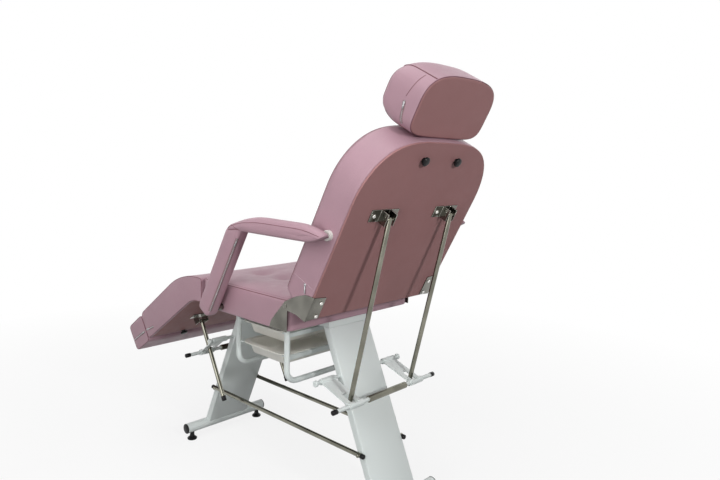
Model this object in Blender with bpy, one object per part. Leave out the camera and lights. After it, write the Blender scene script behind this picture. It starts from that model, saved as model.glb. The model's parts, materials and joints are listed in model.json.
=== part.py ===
"""Treatment couch with a reclining back, a folding legrest, swinging armrests and two storage trays.

Metres, +Z up, floor at z = 0.  The foot end looks to -Y and +X is the sitter's left.
The couch is modelled with the rear face of the seat at y = 0 and centred along Y at the end.
"""

import math

import bmesh
import bpy
from mathutils import Vector

for old in list(bpy.data.objects):
    bpy.data.objects.remove(old, do_unlink=True)

# Fits
GAP = 0.0003                 # between pieces that touch
PIN_ROOM = 0.0004            # radial room of a pin in its bore
SLIDE_ROOM = 0.0006          # sliding room of trays and posts
SLOT_ROOM = 0.0015           # side room of a strut in its plate slot
SHEET = 0.003                # steel sheet of plates and brackets

# Seat cushion
SEAT_HALF_W = 0.280
SEAT_DEPTH = 0.440
SEAT_BASE_Z = 0.603
SEAT_WALL = 0.093
SEAT_CROWN = 0.019
SEAT_CORNER = 0.030
TUFT_DEPTH = 0.010
TUFT_RADIUS = 0.042
SEAT_TUFT_X = 0.36           # share of the half width
SEAT_TUFTS = (0.25, 0.52, 0.77)   # shares of the depth, from the rear

# Seat frame and legs
FRAME_H = 0.025
FRAME_HALF_W = 0.205
FRAME_RAIL = 0.040
FRAME_LAP = 0.013            # wide part of the frame past the hangers' middle lines
LEG_HALF_W = 0.0903
LEG_T = 0.0286               # leg thickness measured along Y
LEG_SPLAY = math.radians(24.228)   # lean of each leg off upright
LEG_INSET = 0.0345           # rear face of the seat to the rear leg's top middle
LEG_OUTSET = 0.0278          # front face of the seat to the front leg's top middle
LEG_EDGE = 0.003
LEG_WALL = 0.002

# Feet
TUBE_R = 0.019
TUBE_WALL = 0.002
TUBE_HALF = 0.181
TUBE_Z = 0.0475
CAP_FLANGE = 0.004
CAP_PLUG = 0.014
LEVELLER_X = 0.157
LEVELLER_R = 0.0185
STUD_R = 0.004

# Stretchers between the legs
STRETCHER_R = 0.0075
STRETCHER_Z = 0.2135
STRETCHER_OVERHANG = 0.004
BOLT_R = 0.0058
BOLT_HEAD = 0.0035           # bolt head past the bar
BOLT_CHAMFER = 0.0015

# Tray hangers and trays
HANGER_R = 0.0095
HANGER_X = 0.185
HANGER_BEND = 0.040
HANGER_DROP = 0.179
HANGER_FRONT = 0.363         # behind the seat's rear face, towards the foot end
HANGER_REAR = 0.111
RAIL_H = 0.015
RAIL_W = 0.015
RAIL_STEP = 0.0015           # rail face proud of the hanger tube
TRAY_DROP = 0.018            # seat frame to the upper rim
TRAY_PITCH = 0.074
TRAY_DEPTH = 0.044
TRAY_WALL = 0.0025
TRAY_RIM_T = 0.003
TRAY_RIM_W = 0.018
TRAY_TAPER = 0.012
TRAY_CORNER = 0.040
TRAY_NEAR_X = 0.190
TRAY_FAR_X = -0.165

# Backrest
BACK_LEAN = math.radians(27.26)
BACK_HALF_W = 0.2835
BACK_LEN = 0.567
BACK_T = 0.107
BACK_CROWN = 0.018
BACK_ARCH = 0.190            # height of the narrowing, rounded top
BACK_ARCH_POWER = 0.56       # under one is squarer than an ellipse
BACK_CORNER = 0.016
BACK_HEEL = 0.294            # rise of the underside towards the front, per metre
BACK_HEEL_REACH = 0.160      # height over which that slope fades out
BACK_TUFT_X = 0.34           # share of the half width
BACK_TUFTS = (0.28, 0.48, 0.68)   # shares of the length, from the foot
PANEL_T = 0.006
PANEL_INSET = 0.001
HINGE_DROP = 0.013           # hinge axis under the seat's top seam
HINGE_Y = -0.005
HINGE_FORE = 0.0788          # hinge axis ahead of the back face
HINGE_LOW = 0.0097           # hinge axis under the foot of the back face
HINGE_PIN_R = 0.005
HINGE_HEAD_R = 0.008
PIN_ROOT = 0.001             # pin sunk in the seat's plate
HINGE_HEAD_T = 0.0035
HINGE_WING = 0.048           # folded flange across the back cover

# Headrest
HEAD_HALF_W = 0.174
HEAD_CLEAR = 0.001           # headrest over the top of the backrest
HEAD_BULGE = 0.003
HEAD_LEN = 0.166
HEAD_BACK = 0.016            # back face ahead of the backrest's back face
HEAD_T = 0.132
HEAD_CORNER = 0.27           # corner radius as a share of the length
HEAD_NARROW_TOP = 0.17       # share of the width lost at the top
HEAD_NARROW_LOW = 0.02
POST_R = 0.008
POST_LEN = 0.150
POST_FORE = 0.050
CLAMP_X = 0.076
CLAMP_DROP = 0.0540          # clamp under the top of the backrest
KNOB_R = 0.0135
KNOB_H = 0.015
STUD_ROOM = 0.001            # knob stud short of the post or runner

# Struts and their brackets
STRUT_R = 0.0075
STRUT_PIN_R = 0.004
BRACKET_HALF_W = 0.056
BRACKET_HALF_H = 0.019
BRACKET_CHEEK = 0.016
BRACKET_RISE = 0.024         # pin axis off the seating face
BACK_STRUT_X = 0.1425
BACK_STRUT_S = 0.3434
BACK_STRUT_TAIL = 0.029
LEG_STRUT_X = 0.150
LEG_STRUT_U = 0.281
LEG_STRUT_TAIL = 0.198
LEG_BRACKET_HALF_W = 0.036

# Release handles
ROD_R = 0.006
ROD_HALF = 0.196
ROD_NUT_R = 0.010
ROD_NUT_T = 0.008
ROD_Z_REAR = 0.4357
ROD_Z_FRONT = 0.4395
PLATE_T = 0.004
PLATE_HALF_W = 0.029
PLATE_DIP_REAR = math.radians(18.9)
PLATE_DIP_FRONT = math.radians(37.1)
PLATE_LEN_REAR = 0.1272
PLATE_LEN_FRONT = 0.1047
HOLE_AT_REAR = 0.1042        # rod to strut along the plate
HOLE_AT_FRONT = 0.0804
SLOT_FORE = 0.029            # slot reach from the strut towards the rod
BAR_R = 0.0065
BAR_HALF = 0.237
SLEEVE_R = 0.0105
SLEEVE_HALF = 0.088
EYE_WALL = 0.0035

# Legrest and foot pad
LEG_SLOPE = math.radians(34.2)
LEG_HINGE_DROP = 0.008
LEG_GAP = 0.0056             # seat front to legrest
LEG_LEN = 0.459
LEG_RISE = 0.084             # top face above the hinge line, across the slope
LEG_UNDER = 0.0280           # under face below the hinge line
LEG_CROWN = 0.004
LEG_TAIL = 0.011             # rear underside over the seat frame
LEG_NOSE = 0.003             # upright face above the hinge line
FOOT_GAP = 0.0015
FOOT_LEN = 0.118
FOOT_UNDER = 0.036
FOOT_RISE = 0.074
RUNNER_R = 0.008
RUNNER_X = 0.141
RUNNER_LEN = 0.190
RUNNER_V = 0.018
FOOT_KNOB_BACK = 0.019       # knob to the end of the legrest

# Armrests
ARM_STANDOFF = 0.0135        # armrest off the wider of the two cushions
POST_W = 0.038
PAD_W = 0.042
POST_HALF_T = 0.031
POST_LEAN = math.radians(30.4)
BUSH_R = 0.0145
BUSH_Y = 0.173               # bush from the backrest hinge
BUSH_Z = 0.222
ELBOW_Q = 0.017              # elbow axis behind the post's middle line
ELBOW_Y = -0.1897
ELBOW_OVER_SEAT = 0.2476     # elbow axis over the seat's underside
ARM_ROOM = 0.001
PAD_UNDER = 0.0354           # pad underside over the elbow axis
PAD_T = 0.049
PAD_FRONT = 0.022            # pad front ahead of the elbow axis
PAD_BEHIND = 0.4027
LUG_R = 0.010
LUG_LEN = 0.041
LUG_DIP = math.radians(9.2)

# Places that follow from the sizes above
SEAT_SEAM_Z = SEAT_BASE_Z + SEAT_WALL
FRAME_TOP = SEAT_BASE_Z - GAP
FRAME_LOW = FRAME_TOP - FRAME_H
LEG_TOP = FRAME_LOW - GAP
HINGE_Z = SEAT_SEAM_Z - HINGE_DROP
LEG_HINGE = Vector((0.0, -SEAT_DEPTH - LEG_GAP / 2, SEAT_SEAM_Z - LEG_HINGE_DROP))
UP_BACK = Vector((0.0, math.sin(BACK_LEAN), math.cos(BACK_LEAN)))
FORE_BACK = Vector((0.0, -math.cos(BACK_LEAN), math.sin(BACK_LEAN)))
HINGE = Vector((0.0, HINGE_Y, HINGE_Z))
BACK_FOOT = HINGE + UP_BACK * HINGE_LOW - FORE_BACK * HINGE_FORE
DOWN_LEG = Vector((0.0, -math.cos(LEG_SLOPE), -math.sin(LEG_SLOPE)))
OVER_LEG = Vector((0.0, -math.sin(LEG_SLOPE), math.cos(LEG_SLOPE)))
ACROSS = Vector((1.0, 0.0, 0.0))
PANEL_BACK = -PANEL_T - GAP
HEAD_LOW = BACK_LEN + HEAD_BULGE + HEAD_CLEAR
CLAMP_S = BACK_LEN - CLAMP_DROP
SEAT_PLATE_X = SEAT_HALF_W + GAP
BACK_PLATE_X = max(SEAT_PLATE_X + SHEET, BACK_HALF_W) + GAP
ARM_IN_X = max(SEAT_HALF_W, BACK_HALF_W) + ARM_STANDOFF


def leg_middle(z, rear):
    """Y of a leg's middle line at height z."""
    drop = (LEG_TOP - z) * math.tan(LEG_SPLAY)
    if rear:
        return -LEG_INSET + drop
    return -SEAT_DEPTH - LEG_OUTSET - drop


def on_back(x, s, f):
    """Point of the backrest: across, up along the back, forward of the back face."""
    return BACK_FOOT + ACROSS * x + UP_BACK * s + FORE_BACK * f


def on_leg(x, u, v):
    """Point of the legrest: across, down the slope from the hinge, over the hinge line."""
    return LEG_HINGE + ACROSS * x + DOWN_LEG * u + OVER_LEG * v


def level(x, y, z):
    """Point in the couch's own directions."""
    return Vector((x, y, z))


def sideways(y, z, x):
    """Point of a side outline set out along Y and Z, at a place across the couch."""
    return Vector((x, y, z))


def paint(name, colour, roughness, metallic):
    """Plain Principled material."""
    made = bpy.data.materials.new(name)
    made.use_nodes = True
    shader = made.node_tree.nodes["Principled BSDF"]
    shader.inputs["Base Color"].default_value = (*colour, 1.0)
    shader.inputs["Roughness"].default_value = roughness
    shader.inputs["Metallic"].default_value = metallic
    return made


def skin(rings, looped=False):
    """Vertices and faces through rings of equal count; a ring of one point closes to a tip."""
    verts = []
    starts = []
    for ring in rings:
        starts.append(len(verts))
        verts.extend(ring)
    faces = []
    count = len(rings)
    for k in range(count if looped else count - 1):
        n = (k + 1) % count
        size = max(len(rings[k]), len(rings[n]))
        a = starts[k]
        b = starts[n]
        for i in range(size):
            j = (i + 1) % size
            if len(rings[k]) == 1:
                faces.append((a, b + j, b + i))
            elif len(rings[n]) == 1:
                faces.append((a + i, a + j, b))
            else:
                faces.append((a + i, a + j, b + j, b + i))
    if not looped:
        if len(rings[0]) > 1:
            faces.append(tuple(reversed(range(starts[0], starts[0] + len(rings[0])))))
        if len(rings[-1]) > 1:
            faces.append(tuple(range(starts[-1], starts[-1] + len(rings[-1]))))
    return verts, faces


def body(name, shape, material, origin=(0.0, 0.0, 0.0), sharp=35.0):
    """One closed object with its origin at the given place."""
    verts, faces = shape
    zero = Vector(origin)
    mesh = bpy.data.meshes.new(name)
    mesh.from_pydata([Vector(v) - zero for v in verts], [], faces)
    work = bmesh.new()
    work.from_mesh(mesh)
    bmesh.ops.recalc_face_normals(work, faces=work.faces[:])
    work.to_mesh(mesh)
    work.free()
    if material is not None:
        mesh.materials.append(material)
    mesh.polygons.foreach_set("use_smooth", [True] * len(mesh.polygons))
    mesh.set_sharp_from_angle(angle=math.radians(sharp))
    made = bpy.data.objects.new(name, mesh)
    made.location = zero
    bpy.context.scene.collection.objects.link(made)
    return made


def shave(target, tool_shape, operation="DIFFERENCE"):
    """Cut a tool shape from the target, or weld it on."""
    tool = body(target.name + "_tool_%d" % len(target.modifiers), tool_shape, None)
    tool.hide_render = True
    tool.display_type = "WIRE"
    step = target.modifiers.new(tool.name, "BOOLEAN")
    step.operation = operation
    step.solver = "EXACT"
    step.object = tool


def weld(target, tool_shape):
    """Weld another shape on to the target."""
    shave(target, tool_shape, "UNION")


def soften(target, width, segments=1):
    """Break the sharp edges."""
    step = target.modifiers.new("edges", "BEVEL")
    step.width = width
    step.segments = segments
    step.limit_method = "ANGLE"
    step.angle_limit = math.radians(40.0)


def turned(point, axis, profile, sides, looped=False):
    """Turned shape; the profile lists (distance along the axis, radius)."""
    along = Vector(axis).normalized()
    one = along.orthogonal().normalized()
    two = along.cross(one)
    rings = []
    for distance, radius in profile:
        centre = Vector(point) + along * distance
        if radius == 0.0:
            rings.append([centre])
            continue
        ring = []
        for i in range(sides):
            turn = 2 * math.pi * i / sides
            ring.append(centre + (one * math.cos(turn) + two * math.sin(turn)) * radius)
        rings.append(ring)
    return skin(rings, looped)


def round_bar(start, end, radius, sides=12, edge=0.0012):
    """Straight bar between two points with broken end edges."""
    axis = Vector(end) - Vector(start)
    length = axis.length
    profile = [(0.0, radius - edge), (edge, radius), (length - edge, radius), (length, radius - edge)]
    return turned(start, axis, profile, sides)


def plain_bar(start, end, radius, sides=12):
    """Straight bar with square ends, for bores and pins."""
    axis = Vector(end) - Vector(start)
    return turned(start, axis, [(0.0, radius), (axis.length, radius)], sides)


def slab(outline, low, high, place):
    """Flat outline given as (a, b) pairs, thick from low to high."""
    return skin([[place(a, b, low) for a, b in outline], [place(a, b, high) for a, b in outline]])


def box_outline(a0, a1, b0, b1):
    """Corners of a rectangle."""
    return [(a0, b0), (a1, b0), (a1, b1), (a0, b1)]


def rounded_box(a0, a1, b0, b1, radius, steps=5, sides=4):
    """Rectangle with round corners and points along its sides."""
    corners = [(a1 - radius, b0 + radius, -90), (a1 - radius, b1 - radius, 0),
               (a0 + radius, b1 - radius, 90), (a0 + radius, b0 + radius, 180)]
    arcs = []
    for a, b, start in corners:
        arc = []
        for i in range(steps + 1):
            turn = math.radians(start + 90.0 * i / steps)
            arc.append((a + radius * math.cos(turn), b + radius * math.sin(turn)))
        arcs.append(arc)
    points = []
    for k, arc in enumerate(arcs):
        points.extend(arc)
        here = arc[-1]
        there = arcs[(k + 1) % 4][0]
        for i in range(1, sides):
            t = i / sides
            points.append((here[0] + (there[0] - here[0]) * t, here[1] + (there[1] - here[1]) * t))
    return points


def drawn_in(outline, amount):
    """Outline moved inwards along its own normals."""
    count = len(outline)
    area = sum(outline[i - 1][0] * outline[i][1] - outline[i][0] * outline[i - 1][1] for i in range(count))
    inward = math.copysign(1.0, area)
    moved = []
    for i in range(count):
        before = Vector(outline[i]) - Vector(outline[i - 1])
        after = Vector(outline[(i + 1) % count]) - Vector(outline[i])
        side = Vector((-before.y, before.x)).normalized() + Vector((-after.y, after.x)).normalized()
        reach = side.length / 2
        step = side.normalized() * inward * amount / max(reach, 0.5)
        moved.append((outline[i][0] + step.x, outline[i][1] + step.y))
    return moved


def cushion(outline, walls, crown, tufts, place, centre=None):
    """Padded block: walls list (drawn in, height), the top rings rise to the crown with tufts pressed in."""
    count = len(outline)
    if centre is None:
        centre = (sum(p[0] for p in outline) / count, sum(p[1] for p in outline) / count)
    rings = [[place(a, b, height) for a, b in drawn_in(outline, inset)] for inset, height in walls]
    inset, seam = walls[-1]
    rim = drawn_in(outline, inset)

    def top(a, b, share):
        rise = crown * (1.0 - share ** 2.2) ** 0.75
        for ta, tb, depth in tufts:
            near = ((a - ta) ** 2 + (b - tb) ** 2) / TUFT_RADIUS ** 2
            rise -= depth * math.exp(-near)
        return place(a, b, seam + rise)

    for share in (0.96, 0.87, 0.75, 0.62, 0.48, 0.33, 0.17):
        ring = []
        for a, b in rim:
            pa = centre[0] + (a - centre[0]) * share
            pb = centre[1] + (b - centre[1]) * share
            ring.append(top(pa, pb, share))
        rings.append(ring)
    rings.append([top(centre[0], centre[1], 0.0)])
    return skin(rings)


def padded_side(profile, stations):
    """Side outline in (y, z) carried across the couch; stations list (x, drawn in, lift of the upper face)."""
    highest = max(p[1] for p in profile)
    lowest = min(p[1] for p in profile)
    rings = []
    for x, inset, lift in stations:
        ring = []
        for (y, z), (py, pz) in zip(profile, drawn_in(profile, inset)):
            share = max(0.0, (z - lowest) / (highest - lowest) - 0.5) * 2.0
            ring.append(Vector((x, py, pz + lift * share)))
        rings.append(ring)
    return skin(rings)


VINYL = paint("pink vinyl", (0.46, 0.28, 0.32), 0.42, 0.0)
BOARD = paint("pink back cover", (0.40, 0.23, 0.24), 0.50, 0.0)
WHITE = paint("white enamel", (0.86, 0.86, 0.85), 0.32, 0.0)
CHROME = paint("chrome", (0.78, 0.79, 0.80), 0.14, 1.0)
STEEL = paint("polished steel", (0.66, 0.66, 0.67), 0.26, 1.0)
IVORY = paint("ivory plastic", (0.80, 0.77, 0.66), 0.40, 0.0)
BLACK = paint("black plastic", (0.03, 0.03, 0.03), 0.45, 0.0)
NYLON = paint("white nylon", (0.88, 0.88, 0.86), 0.45, 0.0)


def make_feet():
    """Foot tubes with plugs and levelling feet."""
    inner = TUBE_R - TUBE_WALL
    low = TUBE_Z - TUBE_R
    for end, rear in (("front", False), ("rear", True)):
        y = leg_middle(TUBE_Z, rear)
        tube = body(end + "_foot_tube", turned(
            (-TUBE_HALF, y, TUBE_Z), ACROSS,
            [(0.0, inner), (0.0, TUBE_R), (2 * TUBE_HALF, TUBE_R), (2 * TUBE_HALF, inner)], 24, True), WHITE)
        for side, way in (("left", 1), ("right", -1)):
            x = way * LEVELLER_X
            shave(tube, plain_bar((x, y, low - TUBE_WALL), (x, y, TUBE_Z), STUD_R + PIN_ROOM))
            plug = inner - GAP
            body("%s_foot_cap_%s" % (end, side), turned(
                (way * (TUBE_HALF + GAP - CAP_PLUG), y, TUBE_Z), ACROSS * way,
                [(0.0, plug - 0.001), (0.002, plug), (CAP_PLUG, plug), (CAP_PLUG, TUBE_R + 0.0004),
                 (CAP_PLUG + CAP_FLANGE - 0.0015, TUBE_R + 0.0004), (CAP_PLUG + CAP_FLANGE, TUBE_R - 0.003)], 20),
                BLACK)
            body("%s_leveller_%s" % (end, side), turned(
                (x, y, 0.0), (0.0, 0.0, 1.0),
                [(0.0, LEVELLER_R - 0.001), (0.0015, LEVELLER_R), (0.0055, LEVELLER_R), (0.0085, 0.0145),
                 (0.013, 0.0098), (0.019, 0.0085), (low - GAP - 0.0005, 0.0085), (low - GAP, 0.008),
                 (low - GAP, STUD_R), (TUBE_Z + 0.008, STUD_R)], 20),
                BLACK, (x, y, 0.0))


def make_legs():
    """Flat box-section splayed legs, saddled on the foot tubes and bored for the release rods."""
    for end, rear, rod_z in (("front", False, ROD_Z_FRONT), ("rear", True, ROD_Z_REAR)):
        half = LEG_T / 2
        top = leg_middle(LEG_TOP, rear)
        low = leg_middle(TUBE_Z, rear)
        outline = [(low - half, TUBE_Z), (low + half, TUBE_Z), (top + half, LEG_TOP), (top - half, LEG_TOP)]
        leg = body(end + "_leg", slab(outline, -LEG_HALF_W, LEG_HALF_W, sideways), WHITE)
        soften(leg, LEG_EDGE, 2)
        room = LEG_WALL / math.cos(LEG_SPLAY)
        below = TUBE_Z - TUBE_R
        above = LEG_TOP + TUBE_R
        run = math.tan(LEG_SPLAY) * TUBE_R * (1 if rear else -1)
        hollow = [(low - half + room + run, below), (low + half - room + run, below),
                  (top + half - room - run, above), (top - half + room - run, above)]
        shave(leg, slab(hollow, -LEG_HALF_W + LEG_WALL, LEG_HALF_W - LEG_WALL, sideways))
        shave(leg, plain_bar((-LEG_HALF_W - 0.01, low, TUBE_Z), (LEG_HALF_W + 0.01, low, TUBE_Z), TUBE_R + GAP, 24))
        rod_y = leg_middle(rod_z, rear)
        shave(leg, plain_bar((-LEG_HALF_W - 0.01, rod_y, rod_z), (LEG_HALF_W + 0.01, rod_y, rod_z),
                             ROD_R + PIN_ROOM))


def make_stretchers():
    """Two bars bolted along the outer sides of the legs."""
    x = LEG_HALF_W + GAP + STRETCHER_R
    reach = LEG_T / 2 + STRETCHER_OVERHANG
    front = leg_middle(STRETCHER_Z, False) - reach
    rear = leg_middle(STRETCHER_Z, True) + reach
    for side, way in (("left", 1), ("right", -1)):
        bar = body("stretcher_" + side, round_bar(
            (way * x, front, STRETCHER_Z), (way * x, rear, STRETCHER_Z), STRETCHER_R, 14), CHROME)
        for at in (leg_middle(STRETCHER_Z, False), leg_middle(STRETCHER_Z, True)):
            crest = STRETCHER_R + BOLT_HEAD
            head = [(0.0, BOLT_R), (crest - BOLT_CHAMFER, BOLT_R), (crest, BOLT_R - BOLT_CHAMFER)]
            weld(bar, turned((way * x, at, STRETCHER_Z), ACROSS * way, head, 10))


def frame_outline(inset):
    """Plan of the seat frame: as wide as the legs at both ends, wider where the hangers are."""
    front = leg_middle(LEG_TOP, False) - LEG_T / 2 + inset
    rear = leg_middle(LEG_TOP, True) + LEG_T / 2 - inset
    wing_front = -HANGER_FRONT - FRAME_LAP + inset
    wing_rear = -HANGER_REAR + FRAME_LAP - inset
    neck = LEG_HALF_W - inset
    wing = FRAME_HALF_W - inset
    half = [(neck, front), (neck, wing_front), (wing, wing_front), (wing, wing_rear), (neck, wing_rear), (neck, rear)]
    return half + [(-x, y) for x, y in reversed(half)]


def make_seat():
    """Seat frame of inward channel and the seat cushion."""
    channel = [(FRAME_RAIL, FRAME_LOW), (0.0, FRAME_LOW), (0.0, FRAME_TOP), (FRAME_RAIL, FRAME_TOP),
               (FRAME_RAIL, FRAME_TOP - SHEET), (SHEET, FRAME_TOP - SHEET), (SHEET, FRAME_LOW + SHEET),
               (FRAME_RAIL, FRAME_LOW + SHEET)]
    rings = []
    for inset, z in channel:
        rings.append([level(x, y, z) for x, y in frame_outline(inset)])
    body("seat_frame", skin(rings, True), WHITE)

    outline = rounded_box(-SEAT_HALF_W, SEAT_HALF_W, -SEAT_DEPTH, 0.0, SEAT_CORNER, 4, 9)
    walls = [(0.006, SEAT_BASE_Z), (0.001, SEAT_BASE_Z + 0.004), (0.0, SEAT_BASE_Z + 0.012),
             (0.004, SEAT_BASE_Z + SEAT_WALL * 0.5), (0.0, SEAT_SEAM_Z - 0.008), (0.004, SEAT_SEAM_Z)]
    tufts = []
    for x in (-SEAT_TUFT_X, SEAT_TUFT_X):
        for y in SEAT_TUFTS:
            tufts.append((x * SEAT_HALF_W, -y * SEAT_DEPTH, TUFT_DEPTH))
    body("seat_cushion", cushion(outline, walls, SEAT_CROWN, tufts, level), VINYL)


def make_hangers():
    """U-shaped tubes under the seat with the rails that carry the trays."""
    top = FRAME_LOW - GAP
    low = FRAME_LOW - HANGER_DROP
    for end, y, inward in (("front", -HANGER_FRONT, 1), ("rear", -HANGER_REAR, -1)):
        path = [(HANGER_X, top)]
        for i in range(7):
            turn = math.radians(15.0 * i)
            path.append((HANGER_X - HANGER_BEND + HANGER_BEND * math.cos(turn),
                         low + HANGER_BEND - HANGER_BEND * math.sin(turn)))
        path.extend([(-x, z) for x, z in reversed(path)])
        rings = []
        for i, (x, z) in enumerate(path):
            back = Vector(path[max(i - 1, 0)])
            ahead = Vector(path[min(i + 1, len(path) - 1)])
            way = (ahead - back).normalized()
            ring = []
            for k in range(12):
                turn = 2 * math.pi * k / 12
                off = HANGER_R * math.cos(turn)
                ring.append(Vector((x - way.y * off, y + HANGER_R * math.sin(turn), z + way.x * off)))
            rings.append(ring)
        hanger = body(end + "_hanger", skin(rings), WHITE)
        face = y + inward * (HANGER_R + RAIL_STEP)
        ledge = face + inward * RAIL_W
        buried = y + inward * HANGER_R * 0.6
        for n in range(2):
            rest = FRAME_LOW - TRAY_DROP - n * TRAY_PITCH - TRAY_RIM_T - GAP
            rail = [(buried, rest - RAIL_H), (face, rest - RAIL_H), (face, rest - SHEET), (ledge, rest - SHEET),
                    (ledge, rest), (buried, rest)]
            weld(hanger, slab(rail, -HANGER_X, HANGER_X, sideways))


def make_trays():
    """Two shallow trays that hang by their rims on the rails."""
    reach = HANGER_R + RAIL_STEP + SLIDE_ROOM
    y0 = -HANGER_FRONT + reach
    y1 = -HANGER_REAR - reach
    rim = rounded_box(TRAY_FAR_X, TRAY_NEAR_X, y0, y1, TRAY_CORNER, 6, 2)
    for n, name in enumerate(("upper", "lower")):
        z = FRAME_LOW - TRAY_DROP - n * TRAY_PITCH
        under = z - TRAY_RIM_T
        base = z - TRAY_DEPTH
        mouth = TRAY_RIM_W
        foot = TRAY_RIM_W + TRAY_TAPER
        rows = [(foot + 0.006, base), (foot, base + 0.006), (mouth, under), (0.0, under), (0.0, z),
                (mouth + TRAY_WALL, z), (foot + TRAY_WALL, base + 0.008), (foot + 0.008, base + TRAY_WALL)]
        rings = [[level(x, y, height) for x, y in drawn_in(rim, inset)] for inset, height in rows]
        body(name + "_tray", skin(rings), IVORY)


def release_plate_outline(length):
    """Side outline of a release plate: an eye on the rod, the sheet, an eye on the bar."""
    rod_eye = ROD_R + PIN_ROOM + EYE_WALL
    bar_eye = BAR_R + GAP + EYE_WALL
    half = PLATE_T / 2
    points = []
    start = math.asin(half / rod_eye)
    for i in range(11):
        turn = start + (2 * math.pi - 2 * start) * i / 10
        points.append((rod_eye * math.cos(turn), rod_eye * math.sin(turn)))
    start = math.asin(half / bar_eye)
    for i in range(11):
        turn = -math.pi + start + (2 * math.pi - 2 * start) * i / 10
        points.append((length + bar_eye * math.cos(turn), bar_eye * math.sin(turn)))
    return points


def make_release(end, rear, rod_z, dip, length, hole, strut_x):
    """Pivot rod, slotted lock plates and the lift bar of one release."""
    rod = Vector((0.0, leg_middle(rod_z, rear), rod_z))
    way = 1.0 if rear else -1.0
    along = Vector((0.0, way * math.cos(dip), -math.sin(dip)))
    over = Vector((0.0, way * math.sin(dip), math.cos(dip)))
    bar = rod + along * length

    def on_plate(a, b, x):
        return rod + along * a + over * b + ACROSS * x

    def plan(x, a, h):
        return on_plate(a, h, x)

    nut = ROD_NUT_R
    body(end + "_release_rod", turned(
        rod - ACROSS * ROD_HALF, ACROSS,
        [(0.0, nut - 0.0015), (0.001, nut), (ROD_NUT_T, nut), (ROD_NUT_T, ROD_R), (2 * ROD_HALF - ROD_NUT_T, ROD_R),
         (2 * ROD_HALF - ROD_NUT_T, nut), (2 * ROD_HALF - 0.001, nut), (2 * ROD_HALF, nut - 0.0015)], 12), WHITE)
    body(end + "_release_bar", round_bar(bar - ACROSS * BAR_HALF, bar + ACROSS * BAR_HALF, BAR_R, 14), WHITE, rod)
    wall = BAR_R + GAP
    body(end + "_release_sleeve", turned(
        bar - ACROSS * SLEEVE_HALF, ACROSS,
        [(0.0, wall), (0.0, SLEEVE_R - 0.001), (0.001, SLEEVE_R), (2 * SLEEVE_HALF - 0.001, SLEEVE_R),
         (2 * SLEEVE_HALF, SLEEVE_R - 0.001), (2 * SLEEVE_HALF, wall)], 16, True), CHROME, rod)
    for side, turn in (("left", 1), ("right", -1)):
        x = turn * strut_x
        plate = body("%s_release_plate_%s" % (end, side), slab(
            release_plate_outline(length), x - PLATE_HALF_W, x + PLATE_HALF_W, on_plate), WHITE, rod)
        out = PLATE_HALF_W + 0.005
        shave(plate, plain_bar(rod + ACROSS * (x - out), rod + ACROSS * (x + out), ROD_R + PIN_ROOM, 12))
        shave(plate, plain_bar(bar + ACROSS * (x - out), bar + ACROSS * (x + out), BAR_R + GAP, 14))
        wide = STRUT_R + SLOT_ROOM
        slot = box_outline(x - wide, x + wide, hole - SLOT_FORE, length + 0.5 * BAR_R)
        shave(plate, slab(slot, -0.02, 0.02, plan))
    return rod + along * hole


def make_strut(name, pin, hole, tail, x):
    """Round strut with its cross pin, running from the bracket through the lock plate."""
    top = Vector((x, pin.y, pin.z))
    through = Vector((x, hole.y, hole.z))
    way = (through - top).normalized()
    length = (through - top).length + tail
    start = STRUT_R * 0.9
    strut = body(name, turned(
        top - way * start, way,
        [(0.0, STRUT_R * 0.55), (STRUT_R * 0.4, STRUT_R), (length + start - 0.0015, STRUT_R),
         (length + start, STRUT_R - 0.0015)], 14), CHROME, top)
    reach = BRACKET_CHEEK + SHEET + 0.001
    weld(strut, plain_bar(top - ACROSS * reach, top + ACROSS * reach, STRUT_PIN_R, 10))


def make_bracket(name, x, half_w, place, pin):
    """Folded steel bracket: two wings on the cover and two cheeks that carry the strut pin."""
    cheek = BRACKET_CHEEK
    high = BRACKET_RISE + 0.007
    wall = cheek + SHEET
    outline = [(-half_w, 0.0), (half_w, 0.0), (half_w, SHEET), (wall, SHEET), (wall, high), (cheek, high),
               (cheek, SHEET), (-cheek, SHEET), (-cheek, high), (-wall, high), (-wall, SHEET), (-half_w, SHEET)]

    def fold(a, b, h):
        return place(x + a, h, b)

    bracket = body(name, slab(outline, -BRACKET_HALF_H, BRACKET_HALF_H, fold), STEEL)
    soften(bracket, 0.0008)
    at = Vector((x, pin.y, pin.z))
    reach = wall + 0.004
    shave(bracket, plain_bar(at - ACROSS * reach, at + ACROSS * reach, STRUT_PIN_R + PIN_ROOM, 12))


def knob_profile(deep):
    """Turned outline of a hand knob with its stud reaching in by the given depth."""
    return [(-deep, STUD_R), (0.0, STUD_R), (0.0, KNOB_R * 0.62), (KNOB_H * 0.35, KNOB_R * 0.55),
            (KNOB_H * 0.45, KNOB_R * 0.97), (KNOB_H * 0.75, KNOB_R), (KNOB_H * 0.93, KNOB_R * 0.8),
            (KNOB_H, KNOB_R * 0.45)]


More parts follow.
